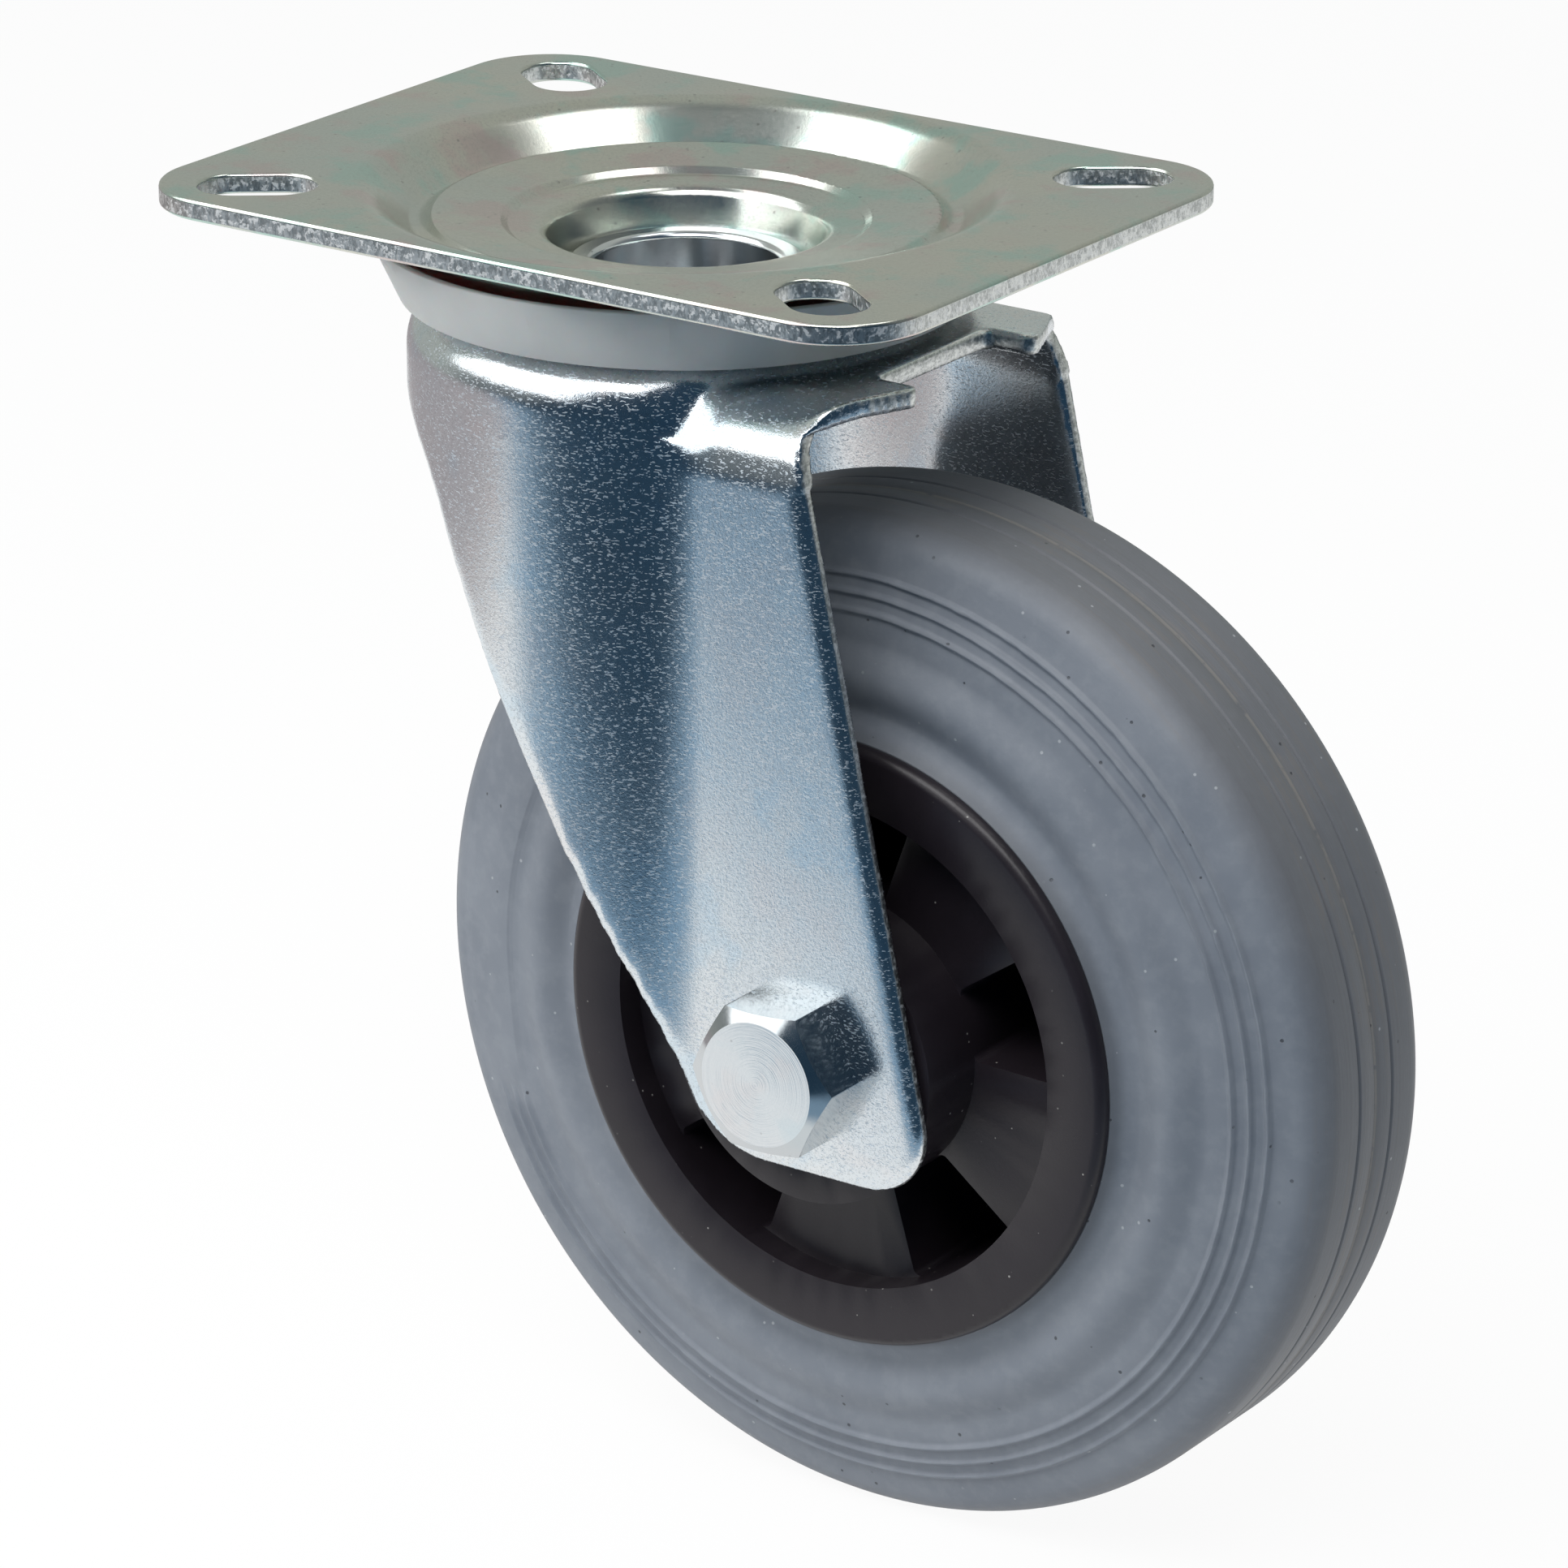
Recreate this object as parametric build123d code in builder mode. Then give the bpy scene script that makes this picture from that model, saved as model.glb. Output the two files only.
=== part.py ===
"""Swivel castor with a top plate, a deep-drawn fork and a rubber-tyred wheel.

All sizes are in millimetres.  The origin is the middle of the plate's top face,
on the swivel axis.  +Z is up, +X points to the side the wheel trails on, and Y
runs along the wheel's axle.
"""
from build123d import *
import math
import os

os.makedirs("parts", exist_ok=True)

# ------------------------------------------------------------ driving sizes
# Top plate: a rectangular sheet, slotted at its corners and dished in the middle.
# Across its width only a narrow land is left beside the dish.
PLATE_LENGTH = 105.0
PLATE_SIDE_LAND = 0.3
PLATE_SHEET = 2.5
PLATE_CORNER_R = 11.0
SLOT_END_MARGIN = 12.5
SLOT_SIDE_MARGIN = 10.0
SLOT_WIDTH = 9.0
SLOT_LENGTH = 14.0

# Upper ball race, pressed into the plate as a flat-topped hump.
UPPER_BALL_D = 6.35
UPPER_RACE_SINK = 0.55
UPPER_PITCH_R = 25.6
UPPER_BALL_COUNT = 24
HUMP_OUTER_REACH = 4.2
HUMP_INNER_REACH = 3.8
HUMP_OUTER_DEPTH = 3.4
HUMP_INNER_DEPTH = 4.25
HUMP_EDGE_R = 0.6
GROOVE_REACH = 1.6
GROOVE_DEPTH = 5.4
GROOVE_R = 1.6
MOUTH_REACH = 6.0
MOUTH_R = 5.0
MOUTH_LAND = 2.3
LEDGE_STEP_REACH = 0.9
LEDGE_OUTER_DEPTH = 5.05
LEDGE_INNER_DEPTH = 5.5
LEDGE_EDGE_R = 1.6
WELL_DEPTH = 11.3
WELL_FLARE = 1.5
WELL_GAP = 1.0
WELL_FLOOR_R = 0.8

# Kingpin: a hollow rivet that holds the plate, the balls and the fork together.
KINGPIN_BORE_D = 21.8
KINGPIN_WALL = 1.8
KINGPIN_LIP = 1.4
KINGPIN_LIP_HEIGHT = 1.9
KINGPIN_LIP_R = 0.85
KINGPIN_BELL_R = 0.8
KINGPIN_CLINCH = 2.6

# Lower ball race, a pressed cup clinched under the fork's crown.
LOWER_BALL_D = 5.0
LOWER_RACE_SINK = 0.4
LOWER_PITCH_R = 18.0
LOWER_BALL_COUNT = 20
LOWER_CUP_SHEET = 2.0
LOWER_CUP_RIM_HEIGHT = 3.4
LOWER_CUP_REACH = 3.6

# Fork: drawn from one sheet, a round crown at the top and two flat legs.
FORK_SHEET = 2.5
CROWN_R = 33.0
CROWN_SHOULDER_R = 7.0
CROWN_STEP = 2.6
CROWN_WELL_R = 21.6
CROWN_WELL_DEPTH = 2.2
CROWN_BORE_R = 14.2
LEG_BEND_R = 6.0
BEND_LAND = 0.1
LEG_ROOT_R = 14.0
REAR_HEM_DROP = 24.9
REAR_SWEEP_R = 20.0
REAR_LEAN_DEG = 27.7
FRONT_LEAN_DEG = 12.6
FOOT_REAR_EDGE = 15.6
FOOT_FRONT_EDGE = 17.3
FOOT_DROP = 13.2
FOOT_REAR_R = 11.0
FOOT_FRONT_R = 8.0
EAR_TIP_X = 41.6
EAR_NOTCH_X = 34.7
EAR_NOTCH_HALF = 11.4
EAR_CORNER_R = 1.5
EAR_NOTCH_R = 1.2

# Dust seal: a thin cone of soft plastic that rides on the crown's shoulder.
SEAL_LIP_GAP = 2.6
SEAL_HEM_OVERHANG = 0.8
SEAL_HEM_LIFT = 0.2
SEAL_WALL = 1.1
SEAL_FLANGE = 0.8
SEAL_BALL_GAP = 0.5

# Wheel and axle.
TRAIL = 34.0
AXLE_DROP = 94.5
WHEEL_D = 125.0
HUB_LENGTH = 50.0
HUB_SIDE_GAP = 0.5
HUB_R = 17.8
RIM_WIDTH = 38.8
RIM_LIP_R = 37.8
RIM_LIP_ROUND = 1.3
RIM_INNER_R = 30.3
WEB_RECESS = 3.9
WEB_WALL = 2.5
POCKET_COUNT = 5
POCKET_FIRST_DEG = 16.4
POCKET_CORNER_R = 1.0
BEAD_SETBACK = 1.5
BEAD_DEPTH = 2.4
TYRE_FLARE_RISE = 1.4
TYRE_FLARE_SETBACK = 2.0
TYRE_FLARE_ROUND = 4.0
TYRE_BROW_DROP = 10.4
TYRE_BROW_SETBACK = 1.3
TYRE_BROW_ROUND = 15.0
TYRE_SHOULDER_SETBACK = 3.5
TYRE_SHOULDER_ROUND = 6.5
RING_COUNT = 3
RING_START = 0.2
RING_PITCH = 2.0
RING_RISE = 1.1
RING_FALL = 0.4
RING_HEIGHT = 0.35
RING_ROOT = 0.8
PANEL_MID_DEG = 172.3
PANEL_SPAN_DEG = 60.0
TREAD_LINE_Y = 3.6
TREAD_LINE_DEPTH = 0.35

# Roller bearing and the tube it runs on.
AXLE_TUBE_D = 15.0
AXLE_TUBE_BORE = 10.3
ROLLER_D = 3.0
ROLLER_COUNT = 12
CAGE_END_GAP = 2.0
CAGE_END_WALL = 3.0
CAGE_GAP = 0.35
WINDOW_GAP = 0.12
WASHER_THICKNESS = 1.0
WASHER_R = 13.5

# Axle bolt and lock nut.
BOLT_D = 10.0
BOLT_SLACK = 0.25
HEX_ACROSS_FLATS = 17.0
HEX_FACE_R = 7.6
HEX_CHAMFER_DEG = 30.0
HEAD_HEIGHT = 6.4
HEX_TURN_DEG = 2.0
NUT_HEIGHT = 7.2
NUT_COLLAR_HEIGHT = 2.8
NUT_COLLAR_R = 7.3
NUT_INSERT_WALL = 1.1
NUT_COLLAR_LAND = 0.2
BOLT_END_PROUD = 1.6
BOLT_END_CHAMFER = 1.0

# Bends of pressed sheet: the smallest inside radius, and the share of a short
# straight that one bend may take.
BEND_INSIDE_R = 0.3
BEND_SHARE = 0.78

# Named clearances.
RUNNING_GAP = 0.05
THREAD_GAP = 0.05
CUT_MARGIN = 5.0

# ------------------------------------------------------------ derived sizes
UPPER_BALL_R = UPPER_BALL_D / 2
LOWER_BALL_R = LOWER_BALL_D / 2
HUMP_OUTER_R = UPPER_PITCH_R + HUMP_OUTER_REACH
HUMP_INNER_R = UPPER_PITCH_R - HUMP_INNER_REACH
GROOVE_CENTRE_R = HUMP_OUTER_R + GROOVE_REACH
MOUTH_CENTRE_R = GROOVE_CENTRE_R + MOUTH_REACH
DISH_R = MOUTH_CENTRE_R + MOUTH_LAND
PLATE_WIDTH = 2 * (DISH_R + PLATE_SIDE_LAND)
SLOT_SPACING_X = PLATE_LENGTH - 2 * SLOT_END_MARGIN
SLOT_SPACING_Y = PLATE_WIDTH - 2 * SLOT_SIDE_MARGIN
SLOT_LEAN_DEG = math.degrees(math.atan2(SLOT_SPACING_Y, SLOT_SPACING_X))
KINGPIN_BORE_R = KINGPIN_BORE_D / 2
KINGPIN_R = KINGPIN_BORE_R + KINGPIN_WALL
KINGPIN_LIP_OUTER_R = KINGPIN_R + KINGPIN_LIP
WELL_FLOOR_OUTER_R = KINGPIN_LIP_OUTER_R + WELL_GAP
LEDGE_INNER_R = WELL_FLOOR_OUTER_R + WELL_FLARE
LEDGE_OUTER_R = HUMP_INNER_R - LEDGE_STEP_REACH

HUMP_SLOPE = math.atan2(HUMP_INNER_DEPTH - HUMP_OUTER_DEPTH, HUMP_OUTER_R - HUMP_INNER_R)
HUMP_PITCH_DEPTH = HUMP_OUTER_DEPTH + HUMP_OUTER_REACH * math.tan(HUMP_SLOPE)
UPPER_BALL_Z = -HUMP_PITCH_DEPTH - (PLATE_SHEET + UPPER_BALL_R + RUNNING_GAP) / math.cos(HUMP_SLOPE)
CROWN_TOP = UPPER_BALL_Z - UPPER_BALL_R - RUNNING_GAP + UPPER_RACE_SINK
FLANGE_TOP = CROWN_TOP - CROWN_STEP
FLANGE_UNDERSIDE = FLANGE_TOP - FORK_SHEET
CROWN_WELL_FLOOR = CROWN_TOP - CROWN_WELL_DEPTH
CROWN_WELL_UNDERSIDE = CROWN_WELL_FLOOR - FORK_SHEET
LOWER_BALL_Z = CROWN_WELL_UNDERSIDE + LOWER_RACE_SINK - RUNNING_GAP - LOWER_BALL_R
LOWER_CUP_FLOOR = LOWER_BALL_Z - LOWER_BALL_R - RUNNING_GAP + LOWER_RACE_SINK
LOWER_CUP_UNDERSIDE = LOWER_CUP_FLOOR - LOWER_CUP_SHEET
LOWER_CUP_INNER_R = LOWER_PITCH_R + LOWER_CUP_REACH

AXLE_Z = -AXLE_DROP
LEG_INNER_Y = HUB_LENGTH / 2 + HUB_SIDE_GAP
LEG_OUTER_Y = LEG_INNER_Y + FORK_SHEET
AXLE_TUBE_R = AXLE_TUBE_D / 2
ROLLER_R = ROLLER_D / 2
ROLLER_PITCH_R = AXLE_TUBE_R + RUNNING_GAP + ROLLER_R
HUB_BORE_R = ROLLER_PITCH_R + ROLLER_R + RUNNING_GAP
BOLT_R = BOLT_D / 2
WHEEL_R = WHEEL_D / 2
RIM_Y = RIM_WIDTH / 2
HUB_Y = HUB_LENGTH / 2
WASHER_Y = HUB_Y - WASHER_THICKNESS
CAGE_LENGTH = 2 * (WASHER_Y - CAGE_END_GAP)
ROLLER_LENGTH = CAGE_LENGTH - 2 * CAGE_END_WALL
WEB_Y = RIM_Y - WEB_RECESS
BEAD_Y = RIM_Y - BEAD_SETBACK
BEAD_R = RIM_LIP_R - BEAD_DEPTH
BEAD_WALL_Y = BEAD_Y - BEAD_DEPTH
TYRE_FLARE_R = RIM_LIP_R + TYRE_FLARE_RISE
TYRE_FLARE_Y = BEAD_Y - TYRE_FLARE_SETBACK
TYRE_BROW_R = WHEEL_R - TYRE_BROW_DROP
TYRE_BROW_Y = TYRE_FLARE_Y - TYRE_BROW_SETBACK
TYRE_SHOULDER_Y = TYRE_BROW_Y - TYRE_SHOULDER_SETBACK
SECTOR_DEG = 180.0 / POCKET_COUNT
NUT_END_Y = LEG_OUTER_Y + NUT_HEIGHT + NUT_COLLAR_HEIGHT
INSERT_R = BOLT_R + THREAD_GAP + NUT_INSERT_WALL

AXLE = (TRAIL, 0, AXLE_Z)
AXLE_LINE = Axis(AXLE, (0, 1, 0))
SECTION = Plane.XZ
WHEEL_SECTION = Plane(origin=AXLE, x_dir=(0, 1, 0), z_dir=(1, 0, 0))
WHEEL_FACE = Plane(origin=AXLE, x_dir=(1, 0, 0), z_dir=(0, -1, 0))


def ring_of_balls(pitch_r, ball_r, height, count):
    """A full row of bearing balls, as separate solids."""
    with BuildPart() as row:
        with BuildSketch(Plane.XZ) as half_disc:
            with Locations((pitch_r, height)):
                Circle(ball_r)
                with Locations((ball_r, 0)):
                    Rectangle(2 * ball_r, 2 * ball_r, mode=Mode.SUBTRACT)
        revolve(axis=Axis((pitch_r, 0, height), (0, 0, 1)))
    with BuildPart() as balls:
        with PolarLocations(0, count):
            add(row.part)
    return balls.part


def race_groove(pitch_r, height, ball_r):
    """The torus a row of balls sweeps, with its running gap."""
    with BuildPart() as groove:
        with BuildSketch(Plane.XZ):
            with Locations((pitch_r, height)):
                Circle(ball_r + RUNNING_GAP)
        revolve(axis=Axis.Z)
    return groove.part


def turn_between(before, corner, after):
    """How far a line turns at a corner, in radians, positive to the left."""
    way_in = Vector(*corner) - Vector(*before)
    way_out = Vector(*after) - Vector(*corner)
    return math.atan2(way_in.X * way_out.Y - way_in.Y * way_out.X, way_in.dot(way_out))


def parallel_corners(corners, gap):
    """The corners of a line that runs at a steady gap to the left of another."""
    points = [Vector(*corner) for corner in corners]
    normals = []
    for start, end in zip(points, points[1:]):
        way = (end - start).normalized()
        normals.append(Vector(-way.Y, way.X))
    moved = [points[0] + normals[0] * gap]
    for point, before, after in zip(points[1:-1], normals, normals[1:]):
        moved.append(point + (before + after) * (gap / (1 + before.dot(after))))
    moved.append(points[-1] + normals[-1] * gap)
    return [(point.X, point.Y) for point in moved]


def sheet_radii(corners, radii, sheet):
    """Corner radii of the sheet's other face: tight inside a bend, wide outside it."""
    other = parallel_corners(corners, sheet)
    found = []
    for index, radius in enumerate(radii, start=1):
        before, corner, after = other[index - 1], other[index], other[index + 1]
        turn = turn_between(before, corner, after)
        wanted = max(radius - math.copysign(sheet, turn), BEND_INSIDE_R)
        shorter = min(math.dist(before, corner), math.dist(corner, after))
        found.append(min(wanted, BEND_SHARE * shorter / math.tan(abs(turn) / 2)))
    return found


def draw_sheet(corners, radii, sheet):
    """Outline of a bent sheet: one face through the corners, the other to its left."""
    other = parallel_corners(corners, sheet)
    FilletPolyline(*corners, radius=radii)
    FilletPolyline(*other, radius=sheet_radii(corners, radii, sheet))
    Line(corners[0], other[0])
    Line(corners[-1], other[-1])


# ------------------------------------------------------------ top plate
DISH_CORNERS = [
    (DISH_R, 0),
    (MOUTH_CENTRE_R, 0),
    (GROOVE_CENTRE_R, -GROOVE_DEPTH),
    (HUMP_OUTER_R, -HUMP_OUTER_DEPTH),
    (HUMP_INNER_R, -HUMP_INNER_DEPTH),
    (LEDGE_OUTER_R, -LEDGE_OUTER_DEPTH),
    (LEDGE_INNER_R, -LEDGE_INNER_DEPTH),
    (WELL_FLOOR_OUTER_R, -WELL_DEPTH),
    (KINGPIN_R + THREAD_GAP, -WELL_DEPTH),
]
DISH_RADII = [MOUTH_R, GROOVE_R, HUMP_EDGE_R, HUMP_EDGE_R, HUMP_EDGE_R, LEDGE_EDGE_R, WELL_FLOOR_R]

with BuildPart() as top_plate:
    with BuildSketch(Plane.XY.offset(-PLATE_SHEET)):
        RectangleRounded(PLATE_LENGTH, PLATE_WIDTH, PLATE_CORNER_R)
        Circle(DISH_R, mode=Mode.SUBTRACT)
        for side_x in (-1, 1):
            for side_y in (-1, 1):
                with Locations((side_x * SLOT_SPACING_X / 2, side_y * SLOT_SPACING_Y / 2)):
                    SlotOverall(
                        SLOT_LENGTH,
                        SLOT_WIDTH,
                        rotation=side_x * side_y * SLOT_LEAN_DEG,
                        mode=Mode.SUBTRACT,
                    )
    extrude(amount=PLATE_SHEET)
    with BuildSketch(SECTION):
        with BuildLine():
            draw_sheet(DISH_CORNERS, DISH_RADII, PLATE_SHEET)
        make_face()
    revolve(axis=Axis.Z)
top_plate.part.label = "top_plate"
export_step(top_plate.part, "parts/top_plate.step")

# ------------------------------------------------------------ kingpin
KINGPIN_TOP = -WELL_DEPTH + KINGPIN_LIP_HEIGHT
KINGPIN_BOTTOM = LOWER_CUP_UNDERSIDE - KINGPIN_LIP_HEIGHT
KINGPIN_CLINCH_R = KINGPIN_R + KINGPIN_CLINCH
with BuildPart() as kingpin:
    with BuildSketch(SECTION):
        with BuildLine():
            Polyline(
                (KINGPIN_BORE_R, KINGPIN_BOTTOM),
                (KINGPIN_CLINCH_R, KINGPIN_BOTTOM),
                (KINGPIN_CLINCH_R, LOWER_CUP_UNDERSIDE),
                (KINGPIN_R, LOWER_CUP_UNDERSIDE),
                (KINGPIN_R, -WELL_DEPTH),
                (KINGPIN_LIP_OUTER_R, -WELL_DEPTH),
                (KINGPIN_LIP_OUTER_R, KINGPIN_TOP),
                (KINGPIN_BORE_R, KINGPIN_TOP),
                close=True,
            )
        make_face()
    revolve(axis=Axis.Z)
    lip_edges = kingpin.edges().filter_by(GeomType.CIRCLE)
    outer_lips = lip_edges.filter_by(lambda edge: edge.radius > KINGPIN_R + RUNNING_GAP)
    fillet(outer_lips, KINGPIN_LIP_R)
    mouths = kingpin.edges().filter_by(GeomType.CIRCLE).filter_by(
        lambda edge: edge.radius < KINGPIN_BORE_R + RUNNING_GAP
    )
    fillet(mouths, KINGPIN_BELL_R)
kingpin.part.label = "kingpin"
export_step(kingpin.part, "parts/kingpin.step")

# ------------------------------------------------------------ swivel bearing
upper_balls = ring_of_balls(UPPER_PITCH_R, UPPER_BALL_R, UPPER_BALL_Z, UPPER_BALL_COUNT)
upper_balls.label = "upper_balls"
export_step(upper_balls, "parts/upper_balls.step")

lower_balls = ring_of_balls(LOWER_PITCH_R, LOWER_BALL_R, LOWER_BALL_Z, LOWER_BALL_COUNT)
lower_balls.label = "lower_balls"
export_step(lower_balls, "parts/lower_balls.step")

LOWER_CUP_CORNERS = [
    (LOWER_CUP_INNER_R, LOWER_CUP_FLOOR + LOWER_CUP_RIM_HEIGHT),
    (LOWER_CUP_INNER_R, LOWER_CUP_FLOOR),
    (KINGPIN_R + THREAD_GAP, LOWER_CUP_FLOOR),
]
with BuildPart() as lower_race:
    with BuildSketch(SECTION):
        with BuildLine():
            draw_sheet(LOWER_CUP_CORNERS, [LOWER_BALL_R / 2], LOWER_CUP_SHEET)
        make_face()
    revolve(axis=Axis.Z)
    add(race_groove(LOWER_PITCH_R, LOWER_BALL_Z, LOWER_BALL_R), mode=Mode.SUBTRACT)
lower_race.part.label = "lower_race"
export_step(lower_race.part, "parts/lower_race.step")

# ------------------------------------------------------------ fork
REAR_LEAN = math.radians(REAR_LEAN_DEG)
FRONT_LEAN = math.radians(FRONT_LEAN_DEG)
FORK_REACH = TRAIL + WHEEL_R
FOOT_Z = AXLE_Z - FOOT_DROP


def rear_edge_x(z):
    """X of the legs' slanting rear edge at a height."""
    return TRAIL - FOOT_REAR_EDGE / math.cos(REAR_LEAN) - (z - AXLE_Z) * math.tan(REAR_LEAN)


def front_edge_x(z):
    """X of the legs' slanting front edge at a height."""
    return TRAIL + FOOT_FRONT_EDGE / math.cos(FRONT_LEAN) - (z - AXLE_Z) * math.tan(FRONT_LEAN)


def crown_form(inset):
    """The fork's filled shape, before it is trimmed, set in from its outer face."""
    crown_r = CROWN_R - inset
    leg_y = LEG_OUTER_Y - inset
    bend_z = FLANGE_TOP - LEG_BEND_R - BEND_LAND
    foot_room = FOOT_Z - CUT_MARGIN
    with BuildPart() as form:
        # Below the bends: a round back that runs into two flat legs.
        with BuildSketch(Plane.XY.offset(foot_room)) as plan:
            Circle(crown_r)
            Rectangle(FORK_REACH + inset, 2 * leg_y, align=(Align.MIN, Align.CENTER))
            corners = plan.vertices().filter_by(lambda corner: CUT_MARGIN < corner.X < crown_r)
            fillet(corners, LEG_ROOT_R + inset)
        extrude(amount=bend_z - foot_room)
        # The crown's rounded shoulder.
        with BuildSketch(SECTION):
            with BuildLine():
                FilletPolyline(
                    (0, CROWN_TOP - inset),
                    (crown_r, CROWN_TOP - inset),
                    (crown_r, bend_z),
                    radius=CROWN_SHOULDER_R - inset,
                )
                Polyline((crown_r, bend_z), (0, bend_z), (0, CROWN_TOP - inset))
            make_face()
        revolve(axis=Axis.Z)
        # The flange in front, bent down along both legs, which run on past the bends.
        with BuildSketch(Plane.YZ):
            with BuildLine():
                FilletPolyline(
                    (-leg_y, bend_z),
                    (-leg_y, FLANGE_TOP - inset),
                    (leg_y, FLANGE_TOP - inset),
                    (leg_y, bend_z),
                    radius=LEG_BEND_R - inset,
                )
                Line((leg_y, bend_z), (-leg_y, bend_z))
            make_face()
        extrude(amount=FORK_REACH + inset)
    return form.part


REAR_HEM_Z = -REAR_HEM_DROP
LEG_OUTLINE = [
    (-FORK_REACH, REAR_HEM_Z),
    (rear_edge_x(REAR_HEM_Z), REAR_HEM_Z),
    (rear_edge_x(FOOT_Z), FOOT_Z),
    (front_edge_x(FOOT_Z), FOOT_Z),
    (front_edge_x(FLANGE_UNDERSIDE), FLANGE_UNDERSIDE),
    (-FORK_REACH, FLANGE_UNDERSIDE),
]
EAR_OUTLINE = [
    (front_edge_x(FLANGE_UNDERSIDE), -LEG_OUTER_Y),
    (EAR_TIP_X, -EAR_NOTCH_HALF),
    (EAR_NOTCH_X, -EAR_NOTCH_HALF),
    (EAR_NOTCH_X, EAR_NOTCH_HALF),
    (EAR_TIP_X, EAR_NOTCH_HALF),
    (front_edge_x(FLANGE_UNDERSIDE), LEG_OUTER_Y),
]
EAR_RADII = [EAR_CORNER_R, EAR_NOTCH_R, EAR_NOTCH_R, EAR_CORNER_R]

with BuildPart() as fork:
    add(crown_form(0))
    add(crown_form(FORK_SHEET), mode=Mode.SUBTRACT)
    # The legs are cut to their side outline below the flange.
    with BuildSketch(SECTION) as leg_scrap:
        with Locations((0, FLANGE_UNDERSIDE - FORK_REACH)):
            Rectangle(4 * FORK_REACH, 2 * FORK_REACH)
        with BuildLine():
            FilletPolyline(*LEG_OUTLINE[:-1], radius=[REAR_SWEEP_R, FOOT_REAR_R, FOOT_FRONT_R])
            Polyline(LEG_OUTLINE[-2], LEG_OUTLINE[-1], LEG_OUTLINE[0])
        make_face(mode=Mode.SUBTRACT)
    extrude(amount=FORK_REACH, both=True, mode=Mode.SUBTRACT)
    # The flange is cut to its ears and the notch between them.
    with BuildSketch(Plane.XY.offset(FLANGE_UNDERSIDE)) as ear_scrap:
        with Locations((FORK_REACH, 0)):
            Rectangle(2 * FORK_REACH, 2 * FORK_REACH)
        with BuildLine():
            Polyline((0, LEG_OUTER_Y), (0, -LEG_OUTER_Y), EAR_OUTLINE[0])
            FilletPolyline(*EAR_OUTLINE, radius=EAR_RADII)
            Line(EAR_OUTLINE[-1], (0, LEG_OUTER_Y))
        make_face(mode=Mode.SUBTRACT)
        Circle(CROWN_R + RUNNING_GAP, mode=Mode.SUBTRACT)
    extrude(amount=-FLANGE_UNDERSIDE, mode=Mode.SUBTRACT)
    # The crown's middle is pressed down to carry the lower balls.
    with BuildSketch(Plane.XY.offset(CROWN_WELL_UNDERSIDE)):
        Circle(CROWN_WELL_R + FORK_SHEET)
    extrude(amount=CROWN_TOP - FORK_SHEET - CROWN_WELL_UNDERSIDE)
    with BuildSketch(Plane.XY.offset(CROWN_WELL_FLOOR)):
        Circle(CROWN_WELL_R)
    extrude(amount=CUT_MARGIN, mode=Mode.SUBTRACT)
    with BuildSketch(Plane.XY):
        Circle(CROWN_BORE_R)
    extrude(amount=-LEG_OUTER_Y, mode=Mode.SUBTRACT)
    add(race_groove(UPPER_PITCH_R, UPPER_BALL_Z, UPPER_BALL_R), mode=Mode.SUBTRACT)
    add(race_groove(LOWER_PITCH_R, LOWER_BALL_Z, LOWER_BALL_R), mode=Mode.SUBTRACT)
    # The axle bolt's hole runs through both legs.
    with BuildSketch(WHEEL_FACE):
        Circle(BOLT_R + BOLT_SLACK)
    extrude(amount=FORK_REACH, both=True, mode=Mode.SUBTRACT)
fork.part.label = "fork"
export_step(fork.part, "parts/fork.step")

# ------------------------------------------------------------ dust seal
# It rests on the crown's shoulder, just outside the balls, and its lip stands
# under the mouth of the plate's dish.
SEAL_TOP_R = MOUTH_CENTRE_R
SEAL_TOP_DEPTH = PLATE_SHEET + SEAL_LIP_GAP
SEAL_HEM_R = CROWN_R + SEAL_HEM_OVERHANG
SEAL_SEAT_R = UPPER_PITCH_R + UPPER_BALL_R + SEAL_BALL_GAP
SHOULDER_START_R = CROWN_R - CROWN_SHOULDER_R
SEAT_DROP = CROWN_SHOULDER_R - math.sqrt(CROWN_SHOULDER_R**2 - (SEAL_SEAT_R - SHOULDER_START_R) ** 2)
SEAL_SEAT_Z = CROWN_TOP - SEAT_DROP
SEAL_HEM_Z = SEAL_SEAT_Z + SEAL_HEM_LIFT
with BuildPart() as dust_seal:
    with BuildSketch(SECTION):
        with BuildLine():
            Polyline(
                (SEAL_SEAT_R, SEAL_SEAT_Z),
                (SEAL_HEM_R - SEAL_WALL, SEAL_HEM_Z),
                (SEAL_HEM_R, SEAL_HEM_Z),
                (SEAL_TOP_R, -SEAL_TOP_DEPTH),
                (SEAL_TOP_R - SEAL_WALL, -SEAL_TOP_DEPTH),
                (SEAL_HEM_R - SEAL_WALL, SEAL_SEAT_Z + SEAL_FLANGE),
                (SEAL_SEAT_R, SEAL_SEAT_Z + SEAL_FLANGE),
                close=True,
            )
        make_face()
    revolve(axis=Axis.Z)
dust_seal.part.label = "dust_seal"
export_step(dust_seal.part, "parts/dust_seal.step")

# ------------------------------------------------------------ wheel rim
def pocket_mouth():
    """One pocket seen along the axle: a sector with a parallel rib on each side."""
    half_turn = math.radians(SECTOR_DEG / 2)
    apex = WEB_WALL / 2 / math.sin(half_turn)
    with BuildSketch() as mouth:
        Circle(RIM_INNER_R)
        Circle(HUB_R, mode=Mode.SUBTRACT)
        with BuildLine():
            Polyline(
                (apex, 0),
                (apex + RIM_LIP_R, RIM_LIP_R * math.tan(half_turn)),
                (apex + RIM_LIP_R, -RIM_LIP_R * math.tan(half_turn)),
                close=True,
            )
        make_face(mode=Mode.INTERSECT)
        fillet(mouth.vertices(), POCKET_CORNER_R)
    return mouth.sketch


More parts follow.
